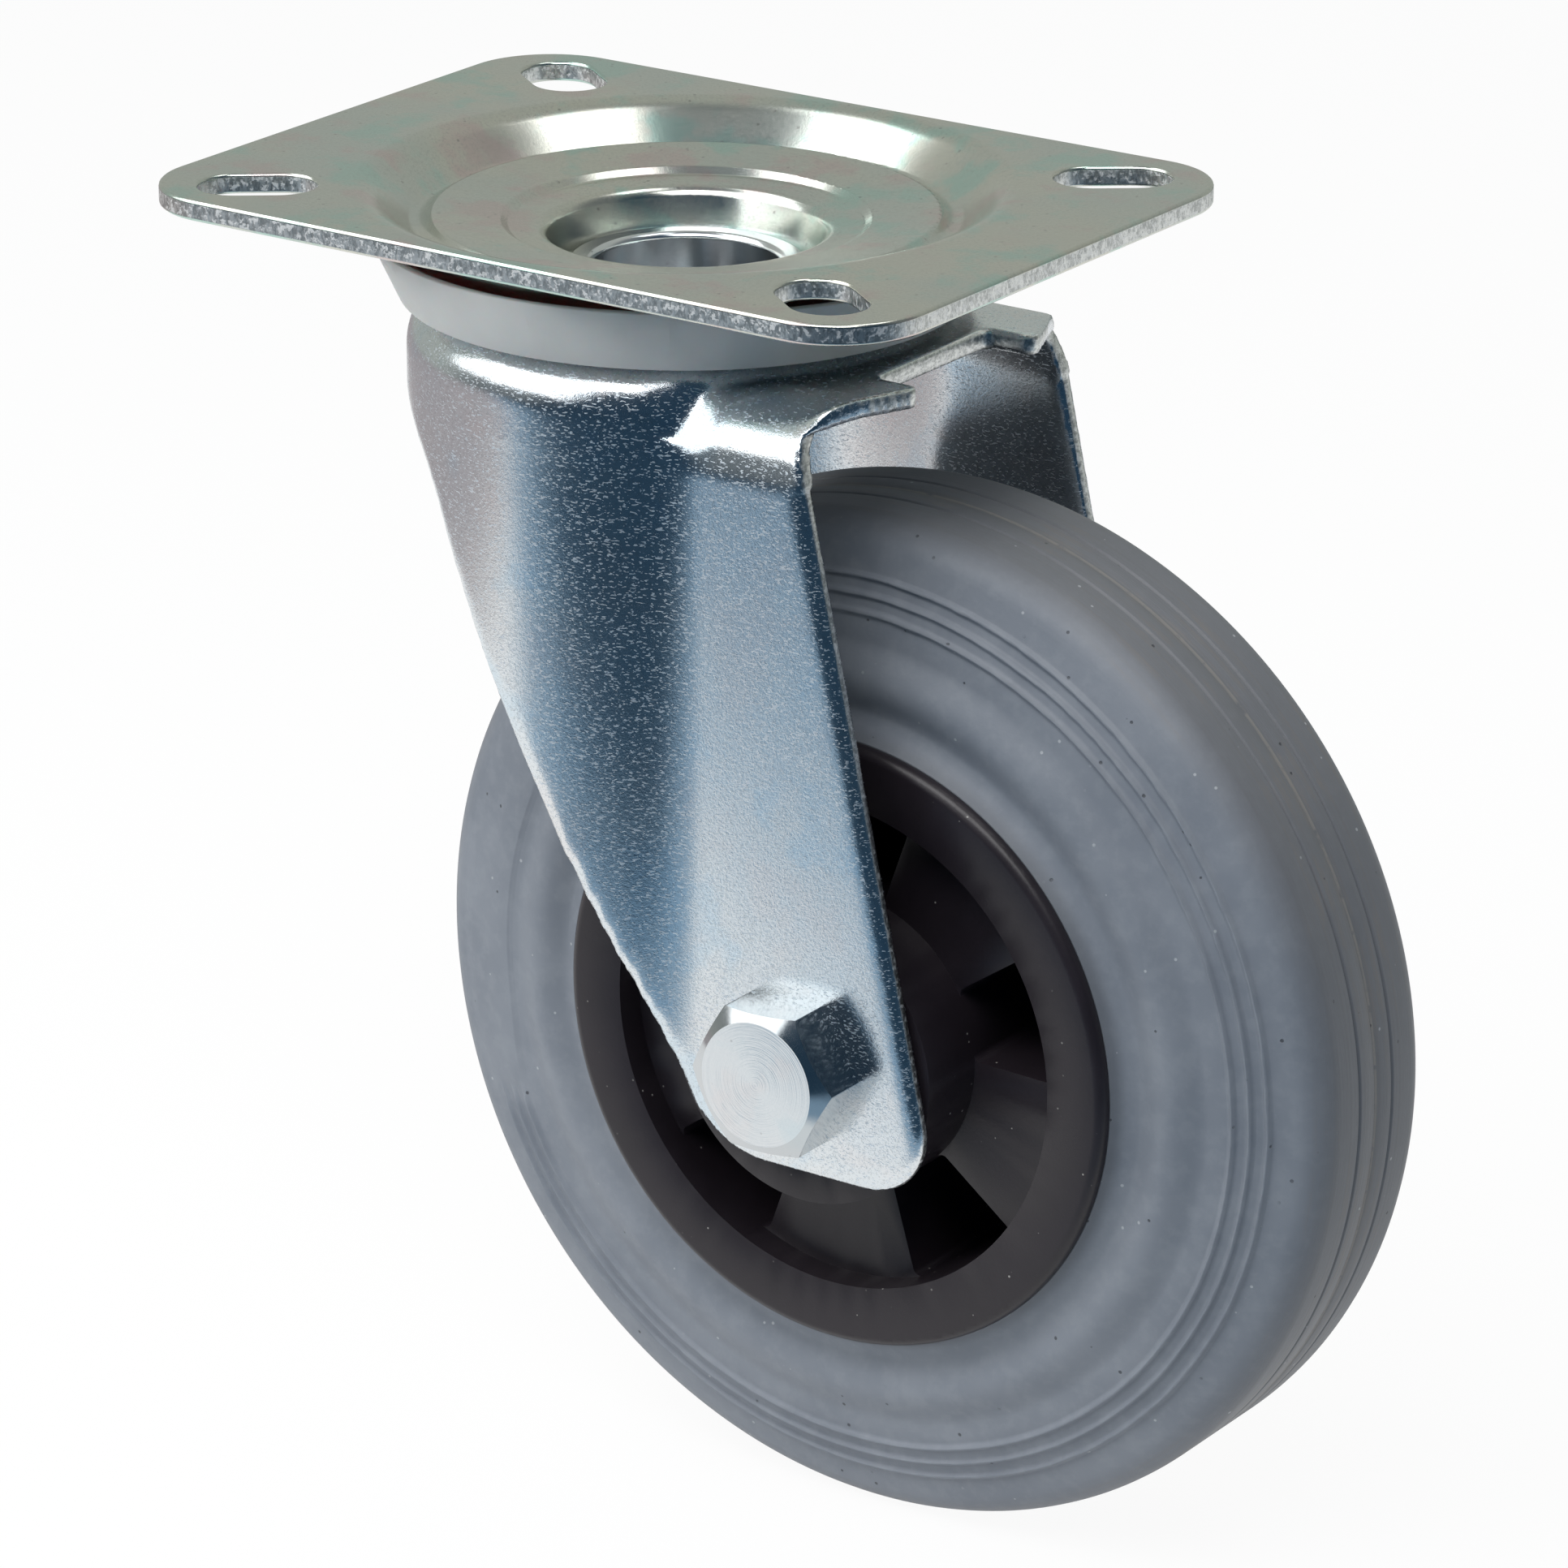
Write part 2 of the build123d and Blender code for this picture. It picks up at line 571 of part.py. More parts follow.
def pocket_row(side, first_deg):
    """The pockets sunk from one side (1 is -Y, -1 is +Y), each down to a thin panel."""
    with BuildPart() as row:
        with BuildSketch(WHEEL_FACE.offset(side * WEB_Y)):
            with PolarLocations(0, POCKET_COUNT, start_angle=first_deg):
                add(pocket_mouth())
        extrude(amount=-side * (2 * WEB_Y - WEB_WALL))
    return row.part


with BuildPart() as wheel_rim:
    with BuildSketch(WHEEL_SECTION):
        with BuildLine():
            for side in (1, -1):
                Polyline(
                    (side * WASHER_Y, HUB_BORE_R),
                    (side * WASHER_Y, WASHER_R),
                    (side * HUB_Y, WASHER_R),
                    (side * HUB_Y, HUB_R),
                    (side * WEB_Y, HUB_R),
                    (side * WEB_Y, RIM_INNER_R),
                    (side * RIM_Y, RIM_INNER_R),
                )
                FilletPolyline(
                    (side * RIM_Y, RIM_INNER_R),
                    (side * RIM_Y, RIM_LIP_R),
                    (side * BEAD_Y, RIM_LIP_R),
                    radius=RIM_LIP_ROUND,
                )
                Line((side * BEAD_Y, RIM_LIP_R), (side * BEAD_WALL_Y, BEAD_R))
            Line((WASHER_Y, HUB_BORE_R), (-WASHER_Y, HUB_BORE_R))
            Line((BEAD_WALL_Y, BEAD_R), (-BEAD_WALL_Y, BEAD_R))
        make_face()
    revolve(axis=AXLE_LINE)
    add(pocket_row(1, POCKET_FIRST_DEG), mode=Mode.SUBTRACT)
    add(pocket_row(-1, POCKET_FIRST_DEG + SECTOR_DEG), mode=Mode.SUBTRACT)
wheel_rim.part.label = "wheel_rim"
export_step(wheel_rim.part, "parts/wheel_rim.step")

# ------------------------------------------------------------ tyre
TYRE_CORNERS = [
    (BEAD_Y, RIM_LIP_R),
    (TYRE_FLARE_Y, TYRE_FLARE_R),
    (TYRE_BROW_Y, TYRE_BROW_R),
    (TYRE_SHOULDER_Y, WHEEL_R),
]
TYRE_RADII = [TYRE_FLARE_ROUND, TYRE_BROW_ROUND, TYRE_SHOULDER_ROUND]
TYRE_FAR_CORNERS = [(-y, r) for y, r in reversed(TYRE_CORNERS)]


def brow_y(radius):
    """How far out the tyre's flank stands at a radius beyond its brow."""
    share = (radius - TYRE_BROW_R) / (WHEEL_R - TYRE_BROW_R)
    return TYRE_BROW_Y + share * (TYRE_SHOULDER_Y - TYRE_BROW_Y)


def flank_rings(side):
    """The fine moulded rings on one flank, which stop at the bare arc."""
    start_deg = math.radians(PANEL_MID_DEG - PANEL_SPAN_DEG / 2)
    toward = (math.sin(start_deg), 0, -math.cos(start_deg))
    with BuildPart() as rings:
        with BuildSketch(Plane(origin=AXLE, x_dir=(0, 1, 0), z_dir=toward)):
            for ring in range(RING_COUNT):
                radius = TYRE_BROW_R + RING_START + ring * RING_PITCH
                with BuildLine():
                    Polyline(
                        (side * (brow_y(radius) - RING_ROOT), radius - RING_RISE),
                        (side * (brow_y(radius - RING_RISE)), radius - RING_RISE),
                        (side * (brow_y(radius) + RING_HEIGHT), radius),
                        (side * (brow_y(radius + RING_FALL)), radius + RING_FALL),
                        (side * (brow_y(radius) - RING_ROOT), radius + RING_FALL),
                        close=True,
                    )
                make_face()
        revolve(axis=AXLE_LINE, revolution_arc=360 - PANEL_SPAN_DEG)
    return rings.part


with BuildPart() as tyre:
    with BuildSketch(WHEEL_SECTION):
        with BuildLine():
            FilletPolyline(*TYRE_CORNERS, *TYRE_FAR_CORNERS, radius=TYRE_RADII + TYRE_RADII[::-1])
            Polyline(
                (-BEAD_Y, RIM_LIP_R),
                (-BEAD_WALL_Y, BEAD_R),
                (BEAD_WALL_Y, BEAD_R),
                (BEAD_Y, RIM_LIP_R),
            )
        make_face()
        for side in (1, -1):
            with Locations((side * TREAD_LINE_Y, WHEEL_R)):
                RegularPolygon(TREAD_LINE_DEPTH, 4, mode=Mode.SUBTRACT)
    revolve(axis=AXLE_LINE)
    add(flank_rings(-1))
    add(flank_rings(1))
tyre.part.label = "tyre"
export_step(tyre.part, "parts/tyre.step")

# ------------------------------------------------------------ roller bearing
with BuildPart() as axle_tube:
    with BuildSketch(WHEEL_FACE):
        Circle(AXLE_TUBE_R)
        Circle(AXLE_TUBE_BORE / 2, mode=Mode.SUBTRACT)
    extrude(amount=LEG_INNER_Y, both=True)
axle_tube.part.label = "axle_tube"
export_step(axle_tube.part, "parts/axle_tube.step")

with BuildPart() as rollers:
    with BuildSketch(WHEEL_FACE):
        with PolarLocations(ROLLER_PITCH_R, ROLLER_COUNT):
            Circle(ROLLER_R)
    extrude(amount=ROLLER_LENGTH / 2, both=True)
rollers.part.label = "rollers"
export_step(rollers.part, "parts/rollers.step")

with BuildPart() as roller_cage:
    with BuildSketch(WHEEL_FACE):
        Circle(HUB_BORE_R - CAGE_GAP)
        Circle(AXLE_TUBE_R + CAGE_GAP, mode=Mode.SUBTRACT)
    extrude(amount=CAGE_LENGTH / 2, both=True)
    with BuildSketch(WHEEL_FACE):
        with PolarLocations(ROLLER_PITCH_R, ROLLER_COUNT):
            Circle(ROLLER_R + WINDOW_GAP)
    extrude(amount=ROLLER_LENGTH / 2 + WINDOW_GAP, both=True, mode=Mode.SUBTRACT)
roller_cage.part.label = "roller_cage"
export_step(roller_cage.part, "parts/roller_cage.step")

for name, side in (("near_hub_washer", 1), ("far_hub_washer", -1)):
    with BuildPart() as hub_washer:
        with BuildSketch(WHEEL_FACE.offset(side * HUB_Y)):
            Circle(WASHER_R)
            Circle(AXLE_TUBE_R + CAGE_GAP, mode=Mode.SUBTRACT)
        extrude(amount=-side * WASHER_THICKNESS)
    hub_washer.part.label = name
    export_step(hub_washer.part, f"parts/{name}.step")

# ------------------------------------------------------------ axle bolt and nut
HEX_CORNER_R = HEX_ACROSS_FLATS / math.sqrt(3)
HEX_CHAMFER_DROP = (HEX_CORNER_R - HEX_FACE_R) * math.tan(math.radians(HEX_CHAMFER_DEG))


def hex_block(side, height):
    """A hexagon against a leg's outer face, its far corners turned off at an angle."""
    seat = LEG_OUTER_Y
    with BuildPart() as block:
        with BuildSketch(WHEEL_SECTION):
            Polygon(
                (side * seat, 0),
                (side * seat, HEX_CORNER_R),
                (side * (seat + height - HEX_CHAMFER_DROP), HEX_CORNER_R),
                (side * (seat + height), HEX_FACE_R),
                (side * (seat + height), 0),
                align=None,
            )
        revolve(axis=AXLE_LINE)
        with BuildSketch(WHEEL_FACE.offset(-side * seat)):
            RegularPolygon(HEX_ACROSS_FLATS / 2, 6, major_radius=False, rotation=HEX_TURN_DEG)
        extrude(amount=-side * height, mode=Mode.INTERSECT)
    return block.part


BOLT_END_Y = NUT_END_Y + BOLT_END_PROUD
with BuildPart() as axle_bolt:
    add(hex_block(-1, HEAD_HEIGHT))
    with BuildSketch(WHEEL_FACE.offset(LEG_OUTER_Y)):
        Circle(BOLT_R)
    extrude(amount=-(LEG_OUTER_Y + BOLT_END_Y))
    chamfer(axle_bolt.faces().sort_by(Axis.Y)[-1].edges(), BOLT_END_CHAMFER)
axle_bolt.part.label = "axle_bolt"
export_step(axle_bolt.part, "parts/axle_bolt.step")

with BuildPart() as lock_nut:
    add(hex_block(1, NUT_HEIGHT))
    with BuildSketch(WHEEL_FACE.offset(-LEG_OUTER_Y)):
        Circle(NUT_COLLAR_R)
    extrude(amount=-(NUT_HEIGHT + NUT_COLLAR_HEIGHT))
    fillet(lock_nut.faces().sort_by(Axis.Y)[-1].edges(), NUT_COLLAR_R - INSERT_R - NUT_COLLAR_LAND)
    with BuildSketch(WHEEL_FACE.offset(-LEG_OUTER_Y)):
        Circle(BOLT_R + THREAD_GAP)
    extrude(amount=-NUT_HEIGHT, mode=Mode.SUBTRACT)
    with BuildSketch(WHEEL_FACE.offset(-NUT_END_Y)):
        Circle(INSERT_R)
    extrude(amount=NUT_COLLAR_HEIGHT, mode=Mode.SUBTRACT)
lock_nut.part.label = "lock_nut"
export_step(lock_nut.part, "parts/lock_nut.step")

with BuildPart() as nut_insert:
    with BuildSketch(WHEEL_FACE.offset(-NUT_END_Y)):
        Circle(INSERT_R)
        Circle(BOLT_R + THREAD_GAP, mode=Mode.SUBTRACT)
    extrude(amount=NUT_COLLAR_HEIGHT)
nut_insert.part.label = "nut_insert"
export_step(nut_insert.part, "parts/nut_insert.step")
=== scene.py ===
# %% [markdown]
# # A swivel castor, dressed for a studio picture
#
# The castor is a slotted steel plate, a ring of balls, a pressed fork and a
# rubber-tyred plastic wheel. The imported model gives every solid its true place.
# This script puts finished surfaces on those solids: rolled edges on the sheet,
# moulded lines on the rubber, zinc, plastic and rubber that look like themselves.
#
# Each piece comes in two cells. The words say what it is on the real castor, how
# it could be made in Blender and why this way was taken. The code then makes it.

import math

import bmesh
import bpy
import mathutils.noise
from mathutils import Matrix, Vector
from mathutils.bvhtree import BVHTree
from mathutils.kdtree import KDTree


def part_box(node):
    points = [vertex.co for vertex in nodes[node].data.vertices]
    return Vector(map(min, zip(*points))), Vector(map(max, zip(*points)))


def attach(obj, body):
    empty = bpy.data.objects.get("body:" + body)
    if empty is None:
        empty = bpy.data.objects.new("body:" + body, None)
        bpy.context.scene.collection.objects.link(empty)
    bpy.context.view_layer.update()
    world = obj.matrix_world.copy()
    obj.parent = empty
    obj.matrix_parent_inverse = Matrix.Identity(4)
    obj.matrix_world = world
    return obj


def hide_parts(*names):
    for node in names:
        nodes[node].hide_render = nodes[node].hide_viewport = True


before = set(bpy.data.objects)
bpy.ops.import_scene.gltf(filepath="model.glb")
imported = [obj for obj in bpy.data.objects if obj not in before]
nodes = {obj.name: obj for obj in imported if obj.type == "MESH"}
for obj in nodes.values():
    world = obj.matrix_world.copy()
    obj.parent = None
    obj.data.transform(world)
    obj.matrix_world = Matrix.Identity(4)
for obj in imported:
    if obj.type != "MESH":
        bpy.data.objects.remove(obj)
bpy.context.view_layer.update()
print("nodes:", ", ".join(sorted(nodes)))

# %% [markdown]
# ## Sizes
#
# Blender works in metres and a castor is easier to think about in millimetres, so
# one constant turns one into the other. The main places are read from the solids:
# the axle is the middle of the tyre's box, and the swivel axis is the world's Z.

# %% Read the main places from the solids
MM = 0.001
tyre_low, tyre_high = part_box("tyre")
AXLE = (tyre_low + tyre_high) / 2
WHEEL_R = (tyre_high.z - tyre_low.z) / 2
FLOOR_Z = tyre_low.z
AXLE_AXIS = Vector((0, 1, 0))
print(f"axle at {AXLE.x / MM:.1f}, {AXLE.z / MM:.1f} mm, wheel {2 * WHEEL_R / MM:.1f} mm across")

# %% [markdown]
# ## The camera
#
# A long lens well back from the castor keeps its edges nearly parallel, as a
# product picture does. The camera could be aimed with a constraint, but three
# angles, a distance and the place of the plate's middle in the picture say it
# exactly, and no constraint is left to go wrong when another view is asked for.

# %% Place the camera
CAMERA_TURN = math.radians(34.87)
CAMERA_RISE = math.radians(20.46)
CAMERA_ROLL = math.radians(0.06)
CAMERA_DISTANCE = 833.0 * MM
CAMERA_LENS, CAMERA_SENSOR = 163.71, 36.0
PICTURE_SIZE = 1932
PLATE_PIXEL = (845.64, 222.19)

camera_data = bpy.data.cameras.new("camera")
camera_data.lens = CAMERA_LENS
camera_data.sensor_width = CAMERA_SENSOR
camera = bpy.data.objects.new("camera", camera_data)
bpy.context.scene.collection.objects.link(camera)
bpy.context.scene.camera = camera

back = Vector((
    math.sin(CAMERA_TURN) * math.cos(CAMERA_RISE),
    -math.cos(CAMERA_TURN) * math.cos(CAMERA_RISE),
    math.sin(CAMERA_RISE),
))
level = back.to_track_quat("Z", "Y").to_matrix()
turned = level @ Matrix.Rotation(CAMERA_ROLL, 3, "Z")
metres_per_pixel = CAMERA_DISTANCE * CAMERA_SENSOR / CAMERA_LENS / PICTURE_SIZE
across = (PLATE_PIXEL[0] - PICTURE_SIZE / 2) * metres_per_pixel
down = (PLATE_PIXEL[1] - PICTURE_SIZE / 2) * metres_per_pixel
camera.location = turned @ Vector((-across, down, CAMERA_DISTANCE))
camera.rotation_euler = turned.to_euler()
print("camera at", [round(value, 3) for value in camera.location])

# %% [markdown]
# ## Sockets in plain arithmetic
#
# Materials here are sums of soft masks. Wiring Math nodes by hand hides the sum,
# so one small class wraps a socket and lets Python's own operators add the nodes.
# A second class holds a node tree and adds every other node by one method.

# %% A wrapper that lets shader sockets be used in Python arithmetic
class Wire:
    """The output of a shader node. Arithmetic on it adds Math nodes."""

    def __init__(self, finish, socket):
        self.finish = finish
        self.socket = socket

    def maths(self, operation, *operands):
        """A Math node of that operation on these numbers or wires."""
        return self.finish.node(
            "ShaderNodeMath", {"operation": operation}, dict(enumerate(operands))
        )

    def __add__(self, other):
        return self.maths("ADD", self, other)

    def __radd__(self, other):
        return self.maths("ADD", other, self)

    def __sub__(self, other):
        return self.maths("SUBTRACT", self, other)

    def __rsub__(self, other):
        return self.maths("SUBTRACT", other, self)

    def __mul__(self, other):
        return self.maths("MULTIPLY", self, other)

    def __rmul__(self, other):
        return self.maths("MULTIPLY", other, self)

    def __pow__(self, other):
        return self.maths("POWER", self, other)

    def __abs__(self):
        return self.maths("ABSOLUTE", self)

    def larger(self, other):
        """The larger of this and the other."""
        return self.maths("MAXIMUM", self, other)

    def rise(self, low, high):
        """A smooth rise from 0 at low to 1 at high."""
        return self.finish.node(
            "ShaderNodeMapRange",
            {"interpolation_type": "SMOOTHSTEP"},
            {"Value": self, "From Min": low, "From Max": high},
        )

    def other_output(self, name):
        """Another output of the same node."""
        return Wire(self.finish, self.socket.node.outputs[name])


class Finish:
    """A node tree, built node by node: a material's unless another is given."""

    def __init__(self, name, tree=None):
        self.name = name
        if tree is None:
            self.material = bpy.data.materials.new(name)
            self.material.use_nodes = True
            tree = self.material.node_tree
        self.tree = tree
        self.tree.nodes.clear()

    def node(self, kind, settings=None, values=None, output=0):
        """Adds a node: its settings first, then a value or a wire for each socket named."""
        made = self.tree.nodes.new(kind)
        for key, setting in (settings or {}).items():
            if key == "stops":
                self.set_stops(made.color_ramp, setting)
            else:
                setattr(made, key, setting)
        for key, value in (values or {}).items():
            socket = made.inputs[key]
            if isinstance(value, Wire):
                self.tree.links.new(value.socket, socket)
            elif socket.type == "RGBA" and len(value) == 3:
                socket.default_value = (*value, 1.0)
            else:
                socket.default_value = value
        return Wire(self, made.outputs[output]) if made.outputs else None

    @staticmethod
    def set_stops(ramp, stops):
        """Gives a colour ramp its stops, as (place, colour) pairs."""
        while len(ramp.elements) < len(stops):
            ramp.elements.new(1.0)
        for element, (place, colour) in zip(ramp.elements, stops):
            element.position = place
            element.color = (*colour, 1.0)

    def ramp(self, factor, *stops):
        """A colour that changes along a factor."""
        return self.node("ShaderNodeValToRGB", {"stops": stops}, {"Fac": factor})

    def mix(self, factor, first, second, blend="MIX"):
        """One colour over another."""
        settings = {"data_type": "RGBA", "blend_type": blend}
        return self.node("ShaderNodeMix", settings, {0: factor, 6: first, 7: second}, output=2)

    def place(self, scale=(1.0, 1.0, 1.0), turn=(0.0, 0.0, 0.0), shift=(0.0, 0.0, 0.0)):
        """Object coordinates, stretched, turned and shifted."""
        where = self.node("ShaderNodeTexCoord", output="Object")
        return self.node(
            "ShaderNodeMapping",
            {"vector_type": "POINT"},
            {"Vector": where, "Location": shift, "Rotation": turn, "Scale": scale},
        )

    def along(self, where, way):
        """How far a place lies along a direction."""
        return self.node(
            "ShaderNodeVectorMath",
            {"operation": "DOT_PRODUCT"},
            {0: where, 1: way},
            output="Value",
        )

    def noise(self, where, size, detail=2.0, roughness=0.5, distortion=0.0):
        """Soft noise whose blotches are about as wide as size, from 0 to 1."""
        return self.node(
            "ShaderNodeTexNoise",
            {"noise_dimensions": "3D"},
            {
                "Vector": where,
                "Scale": 1 / size,
                "Detail": detail,
                "Roughness": roughness,
                "Distortion": distortion,
            },
        )

    def cells(self, where, size):
        """Distance from the middle of the nearest cell. Cells are about as wide as size."""
        return self.node(
            "ShaderNodeTexVoronoi",
            {"feature": "F1"},
            {"Vector": where, "Scale": 1 / size},
            output="Distance",
        )

    def dots(self, where, size, low, high):
        """One small dot in each cell, from 0 to 1."""
        return (1 - self.cells(where, size)).rise(low, high)

    def carried(self, name):
        """A number that the mesh carries on its points or faces."""
        return self.node("ShaderNodeAttribute", {"attribute_name": name}, output="Fac")

    def bump(self, height, depth):
        """A bump whose highest point stands depth metres proud."""
        values = {"Height": height, "Distance": depth, "Strength": 1.0}
        return self.node("ShaderNodeBump", values=values)

    def surface(self, **sockets):
        """Ends the material in a Principled surface. Names use _ for a space."""
        values = {name.replace("_", " "): value for name, value in sockets.items()}
        shader = self.node("ShaderNodeBsdfPrincipled", values=values)
        self.node("ShaderNodeOutputMaterial", values={"Surface": shader})
        return self.material


# %% A first check that arithmetic on wires makes nodes
trial = Finish("trial")
half = 1 - trial.noise(trial.place(), MM) * 0.5
print("trial nodes:", len(trial.tree.nodes), "last:", half.socket.node.operation)
bpy.data.materials.remove(trial.material)

# %% [markdown]
# ## The room
#
# Bright zinc is a mirror, so what it shows is the room, and a room of one tone
# would leave it flat. A product is usually shown in front of a pale wall, in a
# studio that is dark and a little blue where the camera stands. A built set of
# walls would get in the way of a camera that goes round, so the world itself is
# pale on the far side and dark on the near one. The camera sees plain white.

# %% The room that the metal shows
bpy.context.scene.view_settings.view_transform = "Standard"
WHITE = (1.0, 1.0, 1.0)
WALL_COLOUR = (0.43, 0.45, 0.42)
SIDE_COLOUR = (0.175, 0.195, 0.205)
DARK_COLOUR = (0.020, 0.047, 0.080)

world = bpy.data.worlds.new("studio")
bpy.context.scene.world = world
world.use_nodes = True
room = Finish("studio", world.node_tree)
away = (-back.x, -back.y, 0.0)
facing = room.along(room.node("ShaderNodeTexCoord", output="Generated"), away)
near_side = room.mix(facing.rise(-0.62, -0.25), DARK_COLOUR, SIDE_COLOUR)
walls = room.mix(facing.rise(0.0, 0.5), near_side, WALL_COLOUR)
seen = room.node("ShaderNodeLightPath", output="Is Camera Ray")
sky = room.node("ShaderNodeBackground", values={"Color": room.mix(seen, walls, WHITE)})
room.node("ShaderNodeOutputWorld", values={"Surface": sky})
print("world nodes:", len(world.node_tree.nodes))

# %% [markdown]
# ## The lamps
#
# Soft light comes from large, weak sources. Four are used: a wide one to the
# left of the camera that models the fork and the tyre, a smaller one beside the
# camera that fills the shadows, and two overhead with a gap between them, which
# the pressed rings of the plate mirror as separate glints. Area lamps show in
# the metal as real softboxes would.

# %% The soft lamps
LAMP_AIM = Vector((20, 0, -70)) * MM


def soft_lamp(name, turn, rise, distance, size, brightness):
    """A rectangular lamp that faces the castor. Turn and rise are in degrees."""
    data = bpy.data.lights.new(name, "AREA")
    data.shape = "RECTANGLE"
    data.size, data.size_y = size
    data.energy = brightness * math.pi * size[0] * size[1]
    lamp = bpy.data.objects.new(name, data)
    turn, rise = math.radians(turn), math.radians(rise)
    level_reach = math.cos(rise)
    way = Vector((math.cos(turn) * level_reach, math.sin(turn) * level_reach, math.sin(rise)))
    lamp.location = LAMP_AIM + way * distance
    lamp.rotation_euler = way.to_track_quat("Z", "Y").to_euler()
    bpy.context.scene.collection.objects.link(lamp)


soft_lamp("left_lamp", 227, 39, 0.80, (0.96, 0.78), 2.1)
soft_lamp("front_lamp", 292, 55, 0.90, (0.70, 0.50), 4.8)
soft_lamp("overhead_left_lamp", 184, 57, 0.85, (0.34, 0.34), 2.4)
soft_lamp("overhead_right_lamp", 45, 73, 0.85, (0.30, 0.28), 3.0)

# %% [markdown]
# ## The table
#
# The castor stands near the front corner of a white paper table. The paper shows
# white in the foot of the fork and in the bolt. Past its front edge the metal
# shows a blue-grey table top and then the dark room, and past its left edge a
# warmer grey. A floor cut off sharply would draw lines in the metal, so one disc
# is used whose tones fade into each other over some centimetres.

# %% The white paper table
FLOOR_R = 1.1
PAPER_COLOUR = (0.84, 0.84, 0.84)
BACK_COLOUR = (0.26, 0.29, 0.27)
FRONT_COLOUR = (0.25, 0.37, 0.49)
LEFT_COLOUR = (0.44, 0.40, 0.41)
PAPER_FRONT = (0.092, 0.124)
TABLE_FRONT = (0.165, 0.236)
PAPER_BACK = (0.36, 0.62)
PAPER_LEFT = (0.285, 0.335)
LEFT_WAY = (-0.985, -0.174, 0.0)
CAMERA_SHARE, MIRROR_SHARE = 0.94, 0.80


def table_paper():
    """White paper that fades at its front and left edges, and is white to the camera."""
    finish = Finish("table_paper")
    path = finish.node("ShaderNodeLightPath", output="Is Camera Ray")
    mirrored = path.other_output("Is Glossy Ray").larger(path.other_output("Is Transmission Ray"))
    where = finish.place()
    front = finish.along(where, (-away[0], -away[1], 0.0))
    tone = finish.mix((front * -1).rise(*PAPER_BACK), WHITE, BACK_COLOUR)
    tone = finish.mix(finish.along(where, LEFT_WAY).rise(*PAPER_LEFT), tone, LEFT_COLOUR)
    tone = finish.mix(front.rise(*PAPER_FRONT), tone, FRONT_COLOUR)
    tone = finish.mix(front.rise(*TABLE_FRONT), tone, DARK_COLOUR)
    tone = finish.mix(path, tone, WHITE)
    paper_tone = finish.mix(1.0, tone, PAPER_COLOUR, blend="MULTIPLY")
    paper = finish.node("ShaderNodeBsdfDiffuse", values={"Color": paper_tone})
    shown = finish.node("ShaderNodeEmission", values={"Color": tone, "Strength": 1.0})
    share = (path * CAMERA_SHARE).larger(mirrored * MIRROR_SHARE)
    both = finish.node("ShaderNodeMixShader", values={0: share, 1: paper, 2: shown})
    finish.node("ShaderNodeOutputMaterial", values={"Surface": both})
    return finish.material


table_form = bmesh.new()
bmesh.ops.create_circle(table_form, cap_ends=True, segments=96, radius=FLOOR_R)
bmesh.ops.translate(table_form, verts=table_form.verts, vec=(0, 0, FLOOR_Z))
table_mesh = bpy.data.meshes.new("table")
table_form.to_mesh(table_mesh)
table_form.free()
table_mesh.materials.append(table_paper())
table = bpy.data.objects.new("table", table_mesh)
bpy.context.scene.collection.objects.link(table)
print("table:", len(table_mesh.polygons), "face")

# %% [markdown]
# ## Helpers for the shapes
#
# Two ways of making a piece come back again and again. A turned piece, such as
# the tyre, starts as a line with rounded corners that is spun round an axis. A
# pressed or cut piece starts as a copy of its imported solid, whose loose triangles
# are merged and whose corners are then rolled with a bevel, because real sheet
# never ends in a perfectly sharp edge and a sharp edge catches no light.

# %% Make an object from a finished bmesh
def finished(form, name, materials, body, node):
    """An object that holds the form in place of a node. It rides on a body and has a slot."""
    mesh = bpy.data.meshes.new(name)
    form.to_mesh(mesh)
    form.free()
    mesh.shade_smooth()
    for material in materials:
        mesh.materials.append(material)
    piece = bpy.data.objects.new(name, mesh)
    bpy.context.scene.collection.objects.link(piece)
    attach(piece, body)
    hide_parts(node)
    print(f"{name}: {len(mesh.polygons)} faces on {body}")
    return piece


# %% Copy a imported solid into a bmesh
SAME_POINT, SLIVER = 0.001 * MM, 0.02 * MM
FLAT_ENOUGH = math.radians(0.4)


def merged_copy(node):
    """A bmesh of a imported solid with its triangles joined."""
    form = bmesh.new()
    form.from_mesh(nodes[node].data)
    bmesh.ops.remove_doubles(form, verts=form.verts, dist=SAME_POINT)
    return form


def flats_made_whole(form):
    """Joins the triangles of each flat into one face."""
    bmesh.ops.dissolve_degenerate(form, dist=SLIVER, edges=form.edges)
    bmesh.ops.dissolve_limit(
        form,
        angle_limit=FLAT_ENOUGH,
        use_dissolve_boundaries=False,
        verts=form.verts,
        edges=form.edges,
    )
    return form


trial_copy = flats_made_whole(merged_copy("lock_nut"))
print("lock nut with whole flats:", len(trial_copy.faces), "faces")
trial_copy.free()

# %% Roll the edges of a piece
SHARP = math.radians(28)


def roll_edges(form, reach, segments, wanted):
    """Bevels those of the sharp edges that the test wants, and says how many they are."""
    sharp = [
        edge
        for edge in form.edges
        if len(edge.link_faces) == 2 and edge.calc_face_angle() > SHARP and wanted(edge)
    ]
    bmesh.ops.bevel(
        form,
        geom=sharp,
        offset=reach,
        offset_type="OFFSET",
        affect="EDGES",
        segments=segments,
        profile=0.5,
        clamp_overlap=False,
        material=-1,
    )
    return len(sharp)


